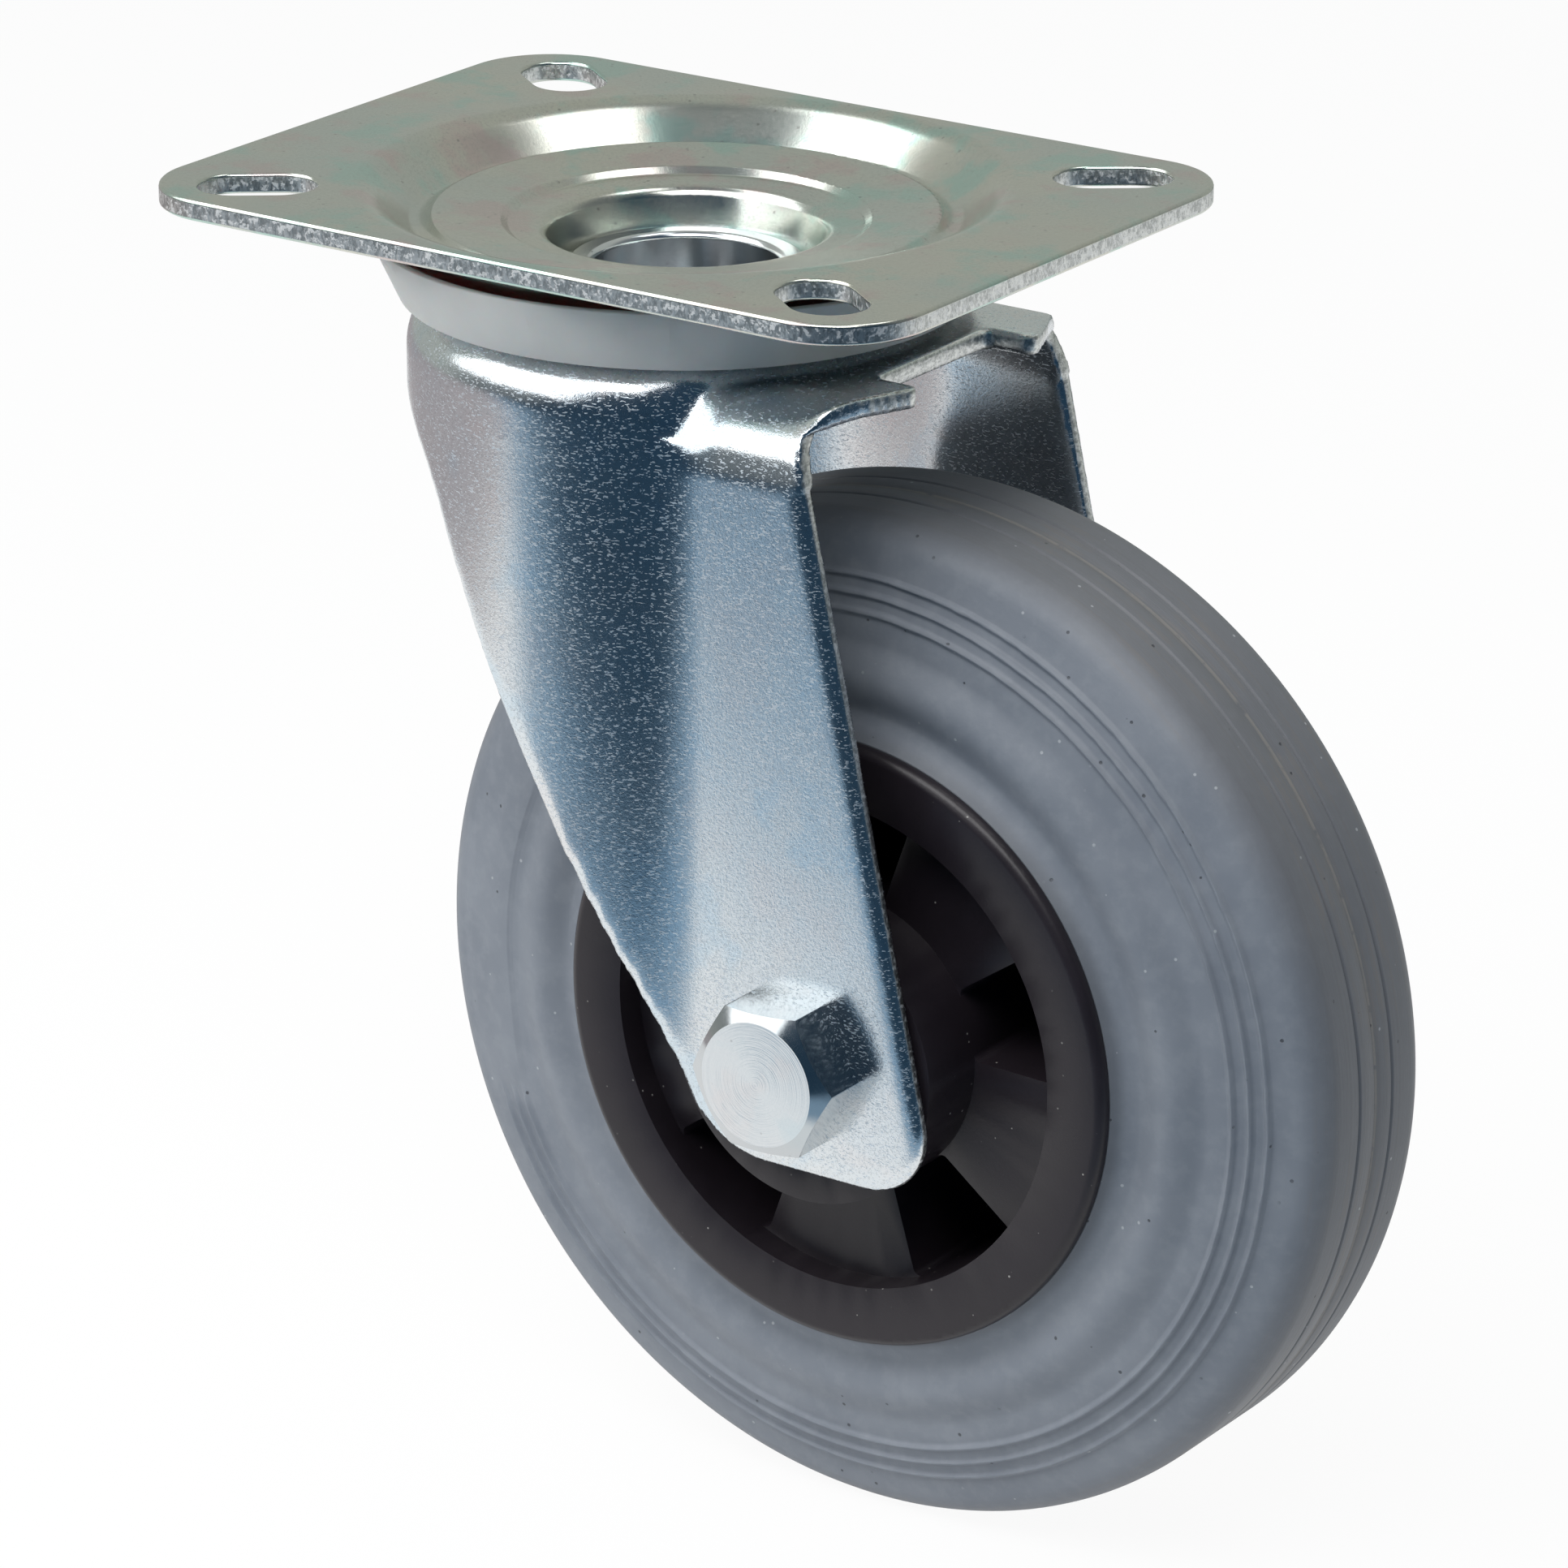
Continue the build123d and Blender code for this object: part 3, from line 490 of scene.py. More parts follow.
def soften(piece, reach, angle):
    """A live bevel that leaves the flats flat."""
    roll = piece.modifiers.new("rolled edges", "BEVEL")
    roll.width = reach
    roll.segments = 2
    roll.limit_method = "ANGLE"
    roll.angle_limit = math.radians(angle)
    roll.harden_normals = True
    roll.use_clamp_overlap = True


print("edges sharper than", round(math.degrees(SHARP)), "degrees can be rolled")

# %% Spin a line round an axis
def rounded_line(corners, rounds, segments=6):
    """A wire through the corners. Each round is the reach of one corner's bevel."""
    form = bmesh.new()
    points = [form.verts.new(corner) for corner in corners]
    for first, second in zip(points, points[1:]):
        form.edges.new((first, second))
    for index, reach in rounds.items():
        bmesh.ops.bevel(
            form,
            geom=[points[index]],
            offset=reach,
            offset_type="OFFSET",
            affect="VERTICES",
            segments=segments,
            profile=0.5,
            material=-1,
        )
    return form


def spun(form, centre, axis, steps):
    """Turns a wire into a closed surface of revolution, facing outwards."""
    bmesh.ops.spin(
        form,
        geom=form.verts[:] + form.edges[:],
        cent=centre,
        axis=axis,
        angle=math.tau,
        steps=steps,
        use_merge=True,
        use_duplicate=False,
    )
    bmesh.ops.remove_doubles(form, verts=form.verts, dist=SAME_POINT / 2)
    bmesh.ops.recalc_face_normals(form, faces=form.faces)
    return form


trial_line = rounded_line([(0, 0, 0), (1, 0, 0), (1, 0, 1)], {1: 0.2})
print("points on a line with one rounded corner:", len(trial_line.verts))
trial_line.free()

# %% [markdown]
# ## Zinc
#
# Bright zinc over pressed steel is a mirror with a skin: the sheet's grain shows
# through as fine orange peel, the passivation adds a faint green, blue and pink
# tint that wanders over several centimetres, and handling leaves thin scratches.
# One texture image could hold all this, but noise at several sizes does the same
# from any distance and never repeats. Where a finish depends on the shape, as a
# torn wall or a turned face does, the mesh carries a number that says so.

# %% Scratches, flecks and tool marks
SCRATCH_GAPS, RING_GAP = 9 * MM, 0.16 * MM


def from_axle(finish):
    """The place seen from the axle's middle, its X and the distance from the axle."""
    where = finish.place(shift=(-AXLE.x, 0.0, -AXLE.z))
    side_x, side_z = finish.along(where, (1, 0, 0)), finish.along(where, (0, 0, 1))
    return where, side_x, (side_x * side_x + side_z * side_z) ** 0.5


def scratches(finish, turn, length, width, share, shift):
    """Thin straight scratches that run one way, as a mask from 0 to 1."""
    lane = finish.place(scale=(1.0, length, length), turn=turn, shift=shift)
    lines = finish.noise(lane, width * length, detail=1.0)
    gaps = finish.noise(finish.place(shift=shift), SCRATCH_GAPS, detail=1.0)
    return lines.rise(share, share + 0.04) * gaps.rise(0.52, 0.62)


def flecks(finish, size, stretch, share):
    """Short bright dashes where the grain stands proud, as a mask from 0 to 1."""
    dashes = finish.noise(finish.place(scale=stretch), size, detail=1.0, distortion=0.6)
    return dashes.rise(share, share + 0.05)


def tool_marks(finish):
    """Fine rings round the axle on the faces turned end-on, from 0 to 1."""
    _, side_x, radius = from_axle(finish)
    lane = finish.node("ShaderNodeCombineXYZ", values={"X": radius, "Y": side_x * 0.04, "Z": 0.0})
    end_on = 1 - finish.carried("forged").rise(0.1, 0.4)
    return finish.noise(lane, RING_GAP, detail=2.0) * end_on


print("rings on a turned face lie about", RING_GAP / MM, "mm apart")

# %% [markdown]
# ## Sheared edges
#
# A press shears sheet in two stages: the punch first burnishes a smooth band and
# the rest then breaks off rough. Plating makes the torn half sparkle. Its bump is
# coarse and stretched through the sheet. The skin is a helper of its own, because
# the plate's walls are faces that wear nothing else, while the fork's walls blend
# into its zinc.

# %% The torn skin
TEAR_SIZE, CHIP_SIZE, TORN_DEPTH = 0.55 * MM, 0.7 * MM, 0.05 * MM


def torn_skin(finish, stretch):
    """Tone, roughness and height of torn steel: streaks through the sheet and bright chips."""
    where = finish.place(scale=stretch)
    tears = finish.noise(where, TEAR_SIZE, detail=3.0, roughness=0.7)
    elsewhere = finish.place(shift=(0.7, 0.2, 0.4))
    chips = finish.noise(elsewhere, CHIP_SIZE, detail=3.0, roughness=0.7)
    bright = chips.rise(0.52, 0.60)
    tone = finish.mix(tears.rise(0.40, 0.60), (0.44, 0.46, 0.45), (0.76, 0.78, 0.76))
    tone = finish.mix(bright * 0.8, tone, (0.95, 0.96, 0.95))
    return tone, 0.36 + bright * 0.2, tears * 0.6 + chips


def torn_zinc(name, stretch):
    """A finish that is torn skin all over, for faces that are all wall."""
    finish = Finish(name)
    tone, rough, height = torn_skin(finish, stretch)
    return finish.surface(
        Base_Color=tone,
        Metallic=1.0,
        Roughness=rough,
        Normal=finish.bump(height, TORN_DEPTH),
    )


PLATE_TORN = torn_zinc("plate_torn_zinc", (1.0, 1.0, 0.5))
print("torn finish:", PLATE_TORN.name)

# %% [markdown]
# ## The zinc finishes
#
# Plate, fork, bolt and kingpin are all zinc plated, but each shows its own steel:
# the plate is rolled smooth, the fork's grain opens as it is drawn and leaves
# bright flecks, and the bolt is turned on its end and forged on its sides. The
# bolt's sides and chamfers are also painted darker than its end, as painted
# shade. One function with a few named amounts keeps them a family.

# %% The zinc skin, grain and tints
WANDER_SIZE, PATCH_SIZE, DOT_SIZE = 30 * MM, 13 * MM, 2.6 * MM
# The second number darkens the forged sides and chamfers of the bolt and nut, as painted shade.
MOTTLE_SHADE, SIDE_PAINTED_SHADE = 0.62, 0.70
SCRATCH = (0.03, 0.10 * MM, 0.70)


def zinc(
    name, colour, tints, grain, gloss,
    fleck=None, marks=0.5, spots=0.0, turned=0.0, mottle=0.0, torn=None,
):
    """Bright zinc: a metal whose tint wanders and whose grain breaks up what it mirrors."""
    finish = Finish(name)
    where = finish.place()
    wander = finish.noise(where, WANDER_SIZE, detail=3.0, roughness=0.55)
    elsewhere = finish.place(shift=(0.3, 0.1, 0.7))
    patches = finish.noise(elsewhere, PATCH_SIZE, detail=4.0, roughness=0.6)
    tone = finish.mix(wander.rise(0.38, 0.62), colour, tints[0])
    tone = finish.mix(patches.rise(0.52, 0.64) * 0.75, tone, tints[1])
    tone = finish.mix((1 - patches).rise(0.53, 0.66) * 0.65, tone, tints[2])
    size, depth = grain
    coarse = finish.noise(where, size, detail=2.0, roughness=0.65)
    fine = finish.noise(finish.place(shift=(0.2, 0.5, 0.1)), size / 2.6, detail=1.0)
    height = coarse * 0.65 + fine * 0.35
    rough = gloss + (wander - 0.5) * 0.08 + (coarse - 0.5) * 0.12
    if mottle:
        shade = tuple(value * MOTTLE_SHADE for value in colour)
        tone = finish.mix(height.rise(0.50, 0.62) * mottle, tone, shade)
    lines = scratches(finish, (0.3, 0.2, 0.9), *SCRATCH, (0.4, 0.0, 0.2))
    lines = lines.larger(scratches(finish, (1.2, 0.4, 2.2), *SCRATCH, (0.1, 0.6, 0.9)))
    tone = finish.mix(lines * marks, tone, (0.80, 0.82, 0.84))
    rough = rough + lines * 0.15
    if fleck:
        dashes = flecks(finish, *fleck)
        tone = finish.mix(dashes * 0.45, tone, (0.76, 0.86, 0.96))
        rough = rough + dashes * 0.26
        height = height + dashes * 0.22
    if spots:
        dots = finish.dots(where, DOT_SIZE, 0.90, 0.95)
        tone = finish.mix(dots * spots, tone, (0.25, 0.25, 0.24))
    # On turned parts: tool marks on the ends, and painted shade that darkens the sides and
    # chamfers.
    if turned:
        height = height + tool_marks(finish) * turned
        shade = tuple(value * SIDE_PAINTED_SHADE for value in colour)
        tone = finish.mix(finish.carried("forged"), tone, shade)
    if torn:
        wall = finish.carried("sheared").rise(0.30, 0.60)
        torn_tone, torn_rough, torn_height = torn_skin(finish, torn)
        tone = finish.mix(wall, tone, torn_tone)
        rough = rough + (torn_rough - rough) * wall
        height = height + (torn_height * (TORN_DEPTH / depth) - height) * wall
    return finish.surface(
        Base_Color=tone,
        Metallic=1.0,
        Roughness=rough.larger(0.08),
        Normal=finish.bump(height, depth),
    )


PLATE_ZINC = zinc(
    "plate_zinc",
    (0.58, 0.62, 0.58),
    ((0.64, 0.64, 0.57), (0.44, 0.64, 0.58), (0.65, 0.52, 0.51)),
    (0.40 * MM, 0.0065 * MM), 0.21, spots=0.5, mottle=0.28,
)
FORK_ZINC = zinc(
    "fork_zinc",
    (0.71, 0.76, 0.79),
    ((0.75, 0.78, 0.79), (0.62, 0.73, 0.80), (0.76, 0.75, 0.75)),
    (0.36 * MM, 0.024 * MM), 0.17,
    fleck=(0.29 * MM, (0.5, 0.5, 1.4), 0.61), mottle=0.45, torn=(1.0, 0.6, 1.0),
)
PIN_TONE = (0.68, 0.72, 0.74)
PIN_TINTS = ((0.72, 0.74, 0.75), (0.62, 0.70, 0.73), (0.72, 0.70, 0.70))
BOLT_ZINC = zinc(
    "bolt_zinc", PIN_TONE, PIN_TINTS,
    (0.34 * MM, 0.0015 * MM), 0.15, marks=0.3, spots=0.3, turned=10.0,
)
KINGPIN_ZINC = zinc(
    "kingpin_zinc", PIN_TONE, PIN_TINTS,
    (0.34 * MM, 0.003 * MM), 0.17, marks=0.3, spots=0.3,
)
print("zinc finishes:", PLATE_ZINC.name, FORK_ZINC.name, BOLT_ZINC.name, KINGPIN_ZINC.name)

# %% [markdown]
# ## Steel and plastics
#
# The rest of the hardware is plain: ground steel for the races and the tube,
# polished balls, pale moulded plastic for the dust seal and the roller cage, and
# a satin brown-black for the rim. A moulding has a slight cloudiness and a fine
# spark-eroded grain, and a dark one also shows dust and hair scratches.

# %% Plain finishes
CLOUD_SIZE, MOTE_SIZE, MOTE_GAPS = 9 * MM, 1.6 * MM, 5 * MM
HAIR = (0.05, 0.07 * MM, 0.72)


def moulded(name, colour, rough, grain, spread=0.15, dust=0.0, metallic=0.0, **sockets):
    """A finish with small changes of tone, a fine grain and perhaps some dust."""
    finish = Finish(name)
    where = finish.place()
    cloud = finish.noise(where, CLOUD_SIZE, detail=4.0, roughness=0.6)
    size, depth = grain
    skin = finish.noise(where, size, detail=2.0)
    dark = tuple(value * (1 - spread) for value in colour)
    light = tuple(min(1.0, value * (1 + spread)) for value in colour)
    tone = finish.ramp(cloud, (0.3, dark), (0.7, light))
    if dust:
        motes = finish.dots(finish.place(shift=(0.1, 0.2, 0.3)), MOTE_SIZE, 0.90, 0.94)
        elsewhere = finish.place(shift=(0.5, 0.2, 0.8))
        sparse = finish.noise(elsewhere, MOTE_GAPS, detail=1.0).rise(0.56, 0.64)
        hairs = scratches(finish, (0.4, 1.1, 0.6), *HAIR, (0.2, 0.2, 0.7))
        tone = finish.mix((motes * sparse).larger(hairs * 0.3) * dust, tone, (0.45, 0.43, 0.40))
    return finish.surface(
        Base_Color=tone,
        Metallic=metallic,
        Roughness=rough + (skin - 0.5) * 0.12 + (cloud - 0.5) * 0.08,
        Normal=finish.bump(skin, depth),
        **sockets,
    )


FINE, POLISHED = (0.3 * MM, 0.004 * MM), (0.3 * MM, 0.0005 * MM)
RACE_STEEL = moulded("race_steel", (0.50, 0.51, 0.52), 0.32, FINE, metallic=1.0)
BALL_STEEL = moulded("ball_steel", (0.62, 0.63, 0.64), 0.12, POLISHED, 0.05, metallic=1.0)
SEAL_PLASTIC = moulded(
    "seal_plastic", (0.62, 0.63, 0.61), 0.40, (0.5 * MM, 0.004 * MM), 0.03,
    Subsurface_Weight=0.25, Subsurface_Scale=2.0 * MM,
)
INSERT_PLASTIC = moulded("insert_plastic", (0.12, 0.22, 0.50), 0.4, FINE)
CAGE_PLASTIC = moulded("cage_plastic", (0.70, 0.70, 0.64), 0.45, FINE)
RIM_PLASTIC = moulded(
    "rim_plastic", (0.017, 0.013, 0.017), 0.36, (0.35 * MM, 0.012 * MM), 0.12,
    dust=0.8, Specular_IOR_Level=0.42,
)
print("steel and plastic finishes made")

# %% [markdown]
# ## Rubber
#
# Grey non-marking rubber is a matt, slightly blue grey. Its tread is browner and
# drawn out round the wheel where the halves of the mould met, its flanks have a
# pale bloom, and both have pits and specks where the mould was dirty. Distance
# from the axle and along it tell the tread from the flanks. Next to the rim the
# rubber is painted darker, as a painted shadow of the rim.

# %% The rubber of the tyre
TREAD_EDGE_Y, TREAD_FULL_Y = 13 * MM, 8 * MM
TREAD_START_R, TREAD_FULL_R = 58 * MM, 61.5 * MM
# The painted shadow of the rim fades out between these two radii.
RIM_SHADOW_R, RIM_SHADOW_END_R = 37.9 * MM, 39.5 * MM
SEAM_CORE, SEAM_EDGE = 0.10 * MM, 0.40 * MM
BROAD_CLOUD, SMALL_CLOUD, BAND_SIZE = 14 * MM, 2.2 * MM, 0.8 * MM
PIT_SIZE, SPECK_SIZE, PIT_GAPS = 2.9 * MM, 3.4 * MM, 8 * MM
SKIN_GRAIN, SKIN_DEPTH = 0.45 * MM, 0.028 * MM


def rubber(name):
    """Blue-grey rubber with a browner, streaky tread, bloom, pits, specks and a painted shadow of
    the rim.
    """
    finish = Finish(name)
    where, _, radius = from_axle(finish)
    depth_y = abs(finish.along(where, (0, 1, 0)))
    cloud = finish.noise(where, BROAD_CLOUD, detail=4.0, roughness=0.6)
    mottle = finish.noise(where, SMALL_CLOUD, detail=3.0, roughness=0.6)
    tone = finish.mix(cloud.rise(0.35, 0.65), (0.190, 0.211, 0.245), (0.222, 0.243, 0.277))
    tone = finish.mix(mottle.rise(0.42, 0.70) * 0.22, tone, (0.300, 0.325, 0.355))
    lane = {"X": radius * 0.3, "Y": depth_y, "Z": cloud * 2 * MM}
    drawn_out = finish.node("ShaderNodeCombineXYZ", values=lane)
    bands = finish.noise(drawn_out, BAND_SIZE, detail=3.0, roughness=0.65)
    near_middle = 1 - depth_y.rise(TREAD_FULL_Y, TREAD_EDGE_Y)
    tread = near_middle * radius.rise(TREAD_START_R, TREAD_FULL_R)
    tone = finish.mix(tread * (0.45 + bands * 0.5), tone, (0.150, 0.150, 0.158))
    brown = (cloud.rise(0.46, 0.62) * tread) * bands.rise(0.45, 0.70)
    tone = finish.mix(brown * 0.55, tone, (0.235, 0.205, 0.180))
    from_seam = depth_y + (mottle - 0.5) * 0.5 * MM
    seam = (1 - from_seam.rise(SEAM_CORE, SEAM_EDGE)) * mottle.rise(0.30, 0.48)
    tone = finish.mix(seam * 0.6, tone, (0.33, 0.31, 0.28))
    # Painted shadow of the rim: the rubber just outside the rim is painted darker.
    rim_shadow = 1 - radius.rise(RIM_SHADOW_R, RIM_SHADOW_END_R)
    tone = finish.mix(rim_shadow * 0.5, tone, (0.10, 0.105, 0.115))
    pits = finish.dots(finish.place(shift=(0.4, 0.1, 0.6)), PIT_SIZE, 0.915, 0.94)
    elsewhere = finish.place(shift=(0.9, 0.3, 0.2))
    some = finish.noise(elsewhere, PIT_GAPS, detail=1.0).rise(0.50, 0.58)
    pits = pits * some
    specks = finish.dots(finish.place(shift=(0.8, 0.5, 0.3)), SPECK_SIZE, 0.930, 0.955)
    tone = finish.mix(pits * 0.75, tone, (0.035, 0.038, 0.045))
    tone = finish.mix(specks * (1 - some) * 0.7, tone, (0.50, 0.52, 0.54))
    skin = finish.noise(where, SKIN_GRAIN, detail=2.0, roughness=0.6)
    height = skin * 0.5 + mottle * 0.7 - pits * 3.0 + tread * bands * 2.2
    return finish.surface(
        Base_Color=tone,
        Roughness=0.56 + (cloud - 0.5) * 0.16 - tread * 0.06,
        Normal=finish.bump(height, SKIN_DEPTH),
        Specular_IOR_Level=0.45,
    )


TYRE_RUBBER = rubber("tyre_rubber")
print("rubber nodes:", len(TYRE_RUBBER.node_tree.nodes))

# %% [markdown]
# ## The pressed fork
#
# The fork is drawn from one sheet: a round crown that runs down into two flat
# legs, with two ears left where the flange is notched. Its solid has the true
# form but knife edges. A bevel would give every edge one width, and pressed steel
# has no such thing: where the crown, the flange and a leg meet, the metal flows.
# So a copy is rebuilt as an even skin of small squares, by a remesh that keeps
# corners where they are, and then relaxed, which rounds each edge as far as its
# own corner lets it. The legs are relaxed longer, since their edges run aslant
# of the squares.

# %% Rebuild the fork as an even skin and relax it
FORK_VOXEL = 0.56 * MM
OCTREE_DEPTH = 8
FORK_RELAX = 3
LEG_RELAX = 14
LEG_TOP_Z = -24 * MM


def even_skin(form, voxel):
    """The same form, rebuilt from small squares of one size."""
    mesh = bpy.data.meshes.new("skin")
    form.to_mesh(mesh)
    form.free()
    holder = bpy.data.objects.new("skin", mesh)
    bpy.context.scene.collection.objects.link(holder)
    rebuild = holder.modifiers.new("rebuild", "REMESH")
    rebuild.mode = "SHARP"
    rebuild.octree_depth = OCTREE_DEPTH
    rebuild.scale = max(holder.dimensions) / (2**OCTREE_DEPTH * voxel)
    rebuild.use_remove_disconnected = False
    view = bpy.context.evaluated_depsgraph_get()
    rebuilt = bpy.data.meshes.new_from_object(holder.evaluated_get(view))
    result = bmesh.new()
    result.from_mesh(rebuilt)
    bpy.data.objects.remove(holder)
    bpy.data.meshes.remove(mesh)
    bpy.data.meshes.remove(rebuilt)
    return result


def relax(form, points, times):
    """Moves each point half way to the middle of its neighbours, again and again."""
    every_way = dict(use_axis_x=True, use_axis_y=True, use_axis_z=True)
    for _ in range(times):
        bmesh.ops.smooth_vert(form, verts=points, factor=0.5, **every_way)


fork_form = even_skin(merged_copy("fork"), FORK_VOXEL)
relax(fork_form, fork_form.verts, FORK_RELAX)
legs = [vert for vert in fork_form.verts if vert.co.z < LEG_TOP_Z]
relax(fork_form, legs, LEG_RELAX)
print("fork skin:", len(fork_form.faces), "squares and", len(legs), "points on the legs")

# %% [markdown]
# ## The bend over the legs
#
# Where the crown, the flange and a leg meet, the press pulls the sheet round two
# bends at once. The metal can't follow, so the bend turns fuller over the leg and
# leaves a small dimple at the corner. It could be sculpted by hand or pressed in
# with a lattice. Moving the skin's points by a smooth fall-off is as good at this
# size and gives the same corner every time.

# %% Ease the bend over each leg and dimple the corner where it meets the crown
LEG_OUTER_Y = 28.0 * MM
FLANGE_Z = -15.8 * MM
BEND_START, BEND_FULL = 17.0 * MM, 23.0 * MM
BEND_REACH, BEND_EASE = 9.5 * MM, 1.5 * MM
DIMPLE = Vector((18.6, 27.6, -18.0)) * MM
DIMPLE_REACH, DIMPLE_DEPTH = 5.5 * MM, 0.9 * MM
INWARDS = 0.7


def smooth_step(value):
    """A smooth rise from 0 to 1 as the value goes from 0 to 1."""
    value = min(max(value, 0.0), 1.0)
    return value * value * (3 - 2 * value)


def dome(gap):
    """A round hill, 1 at its middle and 0 where the gap is 1 or more."""
    return (1 - min(gap, 1.0) ** 2) ** 2


eased = 0
for vert in fork_form.verts:
    where = Vector((vert.co.x, abs(vert.co.y), vert.co.z))
    from_bend = math.hypot(where.y - LEG_OUTER_Y, where.z - FLANGE_Z) / BEND_REACH
    over_leg = smooth_step((where.x - BEND_START) / (BEND_FULL - BEND_START))
    push = BEND_EASE * dome(from_bend) * over_leg
    push += DIMPLE_DEPTH * dome((where - DIMPLE).length / DIMPLE_REACH)
    if push:
        vert.co += Vector((0.0, -math.copysign(INWARDS, vert.co.y), -INWARDS)) * push
        eased += 1
print("points moved at the bends:", eased)

# %% [markdown]
# ## The fork's cut walls
#
# All round its hem, notch and legs the fork shows the torn wall where the blank
# was sheared. Faces could be given a second material, but the squares of the skin
# would leave a border like the teeth of a saw. So each point carries a share,
# from 0 for skin to 1 for wall, which is spread to its neighbours, and the finish
# blends by it.

# %% Mark the sheared walls of the fork
FORK_TOP_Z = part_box("fork")[1].z
FRONT_X, FRONT_FACING = 25 * MM, 0.92
NOTCH_X, NOTCH_HALF, NOTCH_DROP, NOTCH_FACING = 33 * MM, 12.5 * MM, 8 * MM, 0.25
CROWN_DROP, WALL_FACING = 11 * MM, 0.3
SPREADS = 2


def is_sheared(face):
    """True for a wall where the sheet was cut through."""
    middle, way = face.calc_center_median(), face.normal
    if middle.x > FRONT_X and way.x > FRONT_FACING:
        return True
    in_notch = middle.x > NOTCH_X and abs(middle.y) < NOTCH_HALF
    if in_notch and middle.z > FORK_TOP_Z - NOTCH_DROP:
        return abs(way.z) < NOTCH_FACING
    if middle.z > FORK_TOP_Z - CROWN_DROP:
        return False
    sheet_way = Vector((0, 1, 0))
    if middle.x <= 0:
        sheet_way = Vector((middle.x, middle.y, 0)).normalized()
    return abs(way.dot(sheet_way)) < WALL_FACING


fork_form.normal_update()
sheared = fork_form.verts.layers.float.new("sheared")
torn_faces = [face for face in fork_form.faces if is_sheared(face)]
for face in torn_faces:
    for vert in face.verts:
        vert[sheared] += 1 / len(vert.link_faces)
for _ in range(SPREADS):
    shares = [
        sum(edge.other_vert(vert)[sheared] for edge in vert.link_edges) / len(vert.link_edges)
        for vert in fork_form.verts
    ]
    for vert, share in zip(fork_form.verts, shares):
        vert[sheared] = (vert[sheared] + share) / 2
print("sheared faces:", len(torn_faces))

# %% [markdown]
# ## The straight edges of the legs
#
# The blanking tool leaves each leg's edge as straight as a ruler, while relaxing
# a skin whose squares lie aslant leaves ripples. More relaxing would only round
# the edge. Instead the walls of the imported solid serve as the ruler: each point
# near a wall is set as far from it as its neighbours along the edge are on
# average.

# %% Straighten the cut edges of the legs
EDGE_RUN, EDGE_ROW, SAME_WALL = 1.5 * MM, 0.3 * MM, 0.9
LEAST_SHARE = 0.03

wall_form = merged_copy("fork")
wall_form.normal_update()
not_walls = [
    face
    for face in wall_form.faces
    if face.calc_center_median().z > LEG_TOP_Z or not is_sheared(face)
]
bmesh.ops.delete(wall_form, geom=not_walls, context="FACES")
wall_tree = BVHTree.FromBMesh(wall_form)
print("wall triangles:", len(wall_form.faces))
wall_form.free()
cut_points = [
    vert for vert in fork_form.verts if vert.co.z < LEG_TOP_Z and vert[sheared] > LEAST_SHARE
]
nearest = [wall_tree.find_nearest(vert.co)[:2] for vert in cut_points]
offsets = [(vert.co - spot).dot(way) for vert, (spot, way) in zip(cut_points, nearest)]
row_tree = KDTree(len(cut_points))
for index, vert in enumerate(cut_points):
    row_tree.insert(vert.co, index)
row_tree.balance()
for index, vert in enumerate(cut_points):
    way = nearest[index][1]
    row = [
        offsets[other]
        for _, other, _ in row_tree.find_range(vert.co, EDGE_RUN)
        if abs(cut_points[other].co.y - vert.co.y) < EDGE_ROW
        and nearest[other][1].dot(way) > SAME_WALL
    ]
    vert.co += way * (sum(row) / len(row) - offsets[index])
print("points set in line:", len(cut_points))
finished(fork_form, "fork_sheet", [FORK_ZINC], "fork", "fork")

# %% [markdown]
# ## The top plate
#
# The plate is blanked with its four slots and then pressed into rings round the
# kingpin. The rings are smooth already in the solid. Only the blanked outline and
# the slots need work: their upper corners are pulled over by the punch, which a
# small bevel gives, and their walls are torn.

# %% Copy the plate, roll its sheared edges and mark its walls
PLATE_ROLL = 0.42 * MM
UPRIGHT, LEVEL = 0.1, 0.99
DISH_R = 39.9 * MM

plate_form = flats_made_whole(merged_copy("top_plate"))


def between_wall_and_flat(edge):
    """True for an edge between the flat border and a wall cut through it."""
    rises = sorted(abs(face.normal.z) for face in edge.link_faces)
    return rises[0] < UPRIGHT and rises[1] > LEVEL


count = roll_edges(plate_form, PLATE_ROLL, 3, between_wall_and_flat)
plate_form.normal_update()
for face in plate_form.faces:
    middle = face.calc_center_median()
    if abs(face.normal.z) < UPRIGHT and middle.to_2d().length > DISH_R:
        face.material_index = 1
plate_piece = finished(
    plate_form, "plate_sheet", [PLATE_ZINC, PLATE_TORN], "plate", "top_plate"
)
weigh = plate_piece.modifiers.new("flat flats", "WEIGHTED_NORMAL")
weigh.keep_sharp = True
print("plate edges rolled:", count)

# %% [markdown]
# ## The wheel's rim
#
# The rim is one moulding with pockets sunk from both faces in turn, so that the
# walls stay even. Its solid is right, and a moulding's edges are only broken by a
# few tenths of a millimetre. A live bevel with hardened normals does that and
# leaves the flats flat.

# %% Copy the rim and break its edges
rim_piece = finished(
    merged_copy("wheel_rim"), "rim_moulding", [RIM_PLASTIC], "wheel", "wheel_rim"
)
soften(rim_piece, 0.22 * MM, 40.0)

# %% [markdown]
# ## The tyre
#
# The tyre is a turned form, so its section is drawn once as a line with rounded
# corners and spun round the axle. Three fine ridges run round each flank and stop
# at a bare arc. Modelling them in the section would carry them through the arc,
# so the flank is spun smooth, with many fine steps where the ridges go. Moving its
# points out or in afterwards raises the ridges, draws the edge of the arc and
# sinks the shallow hollow nearer the rim.

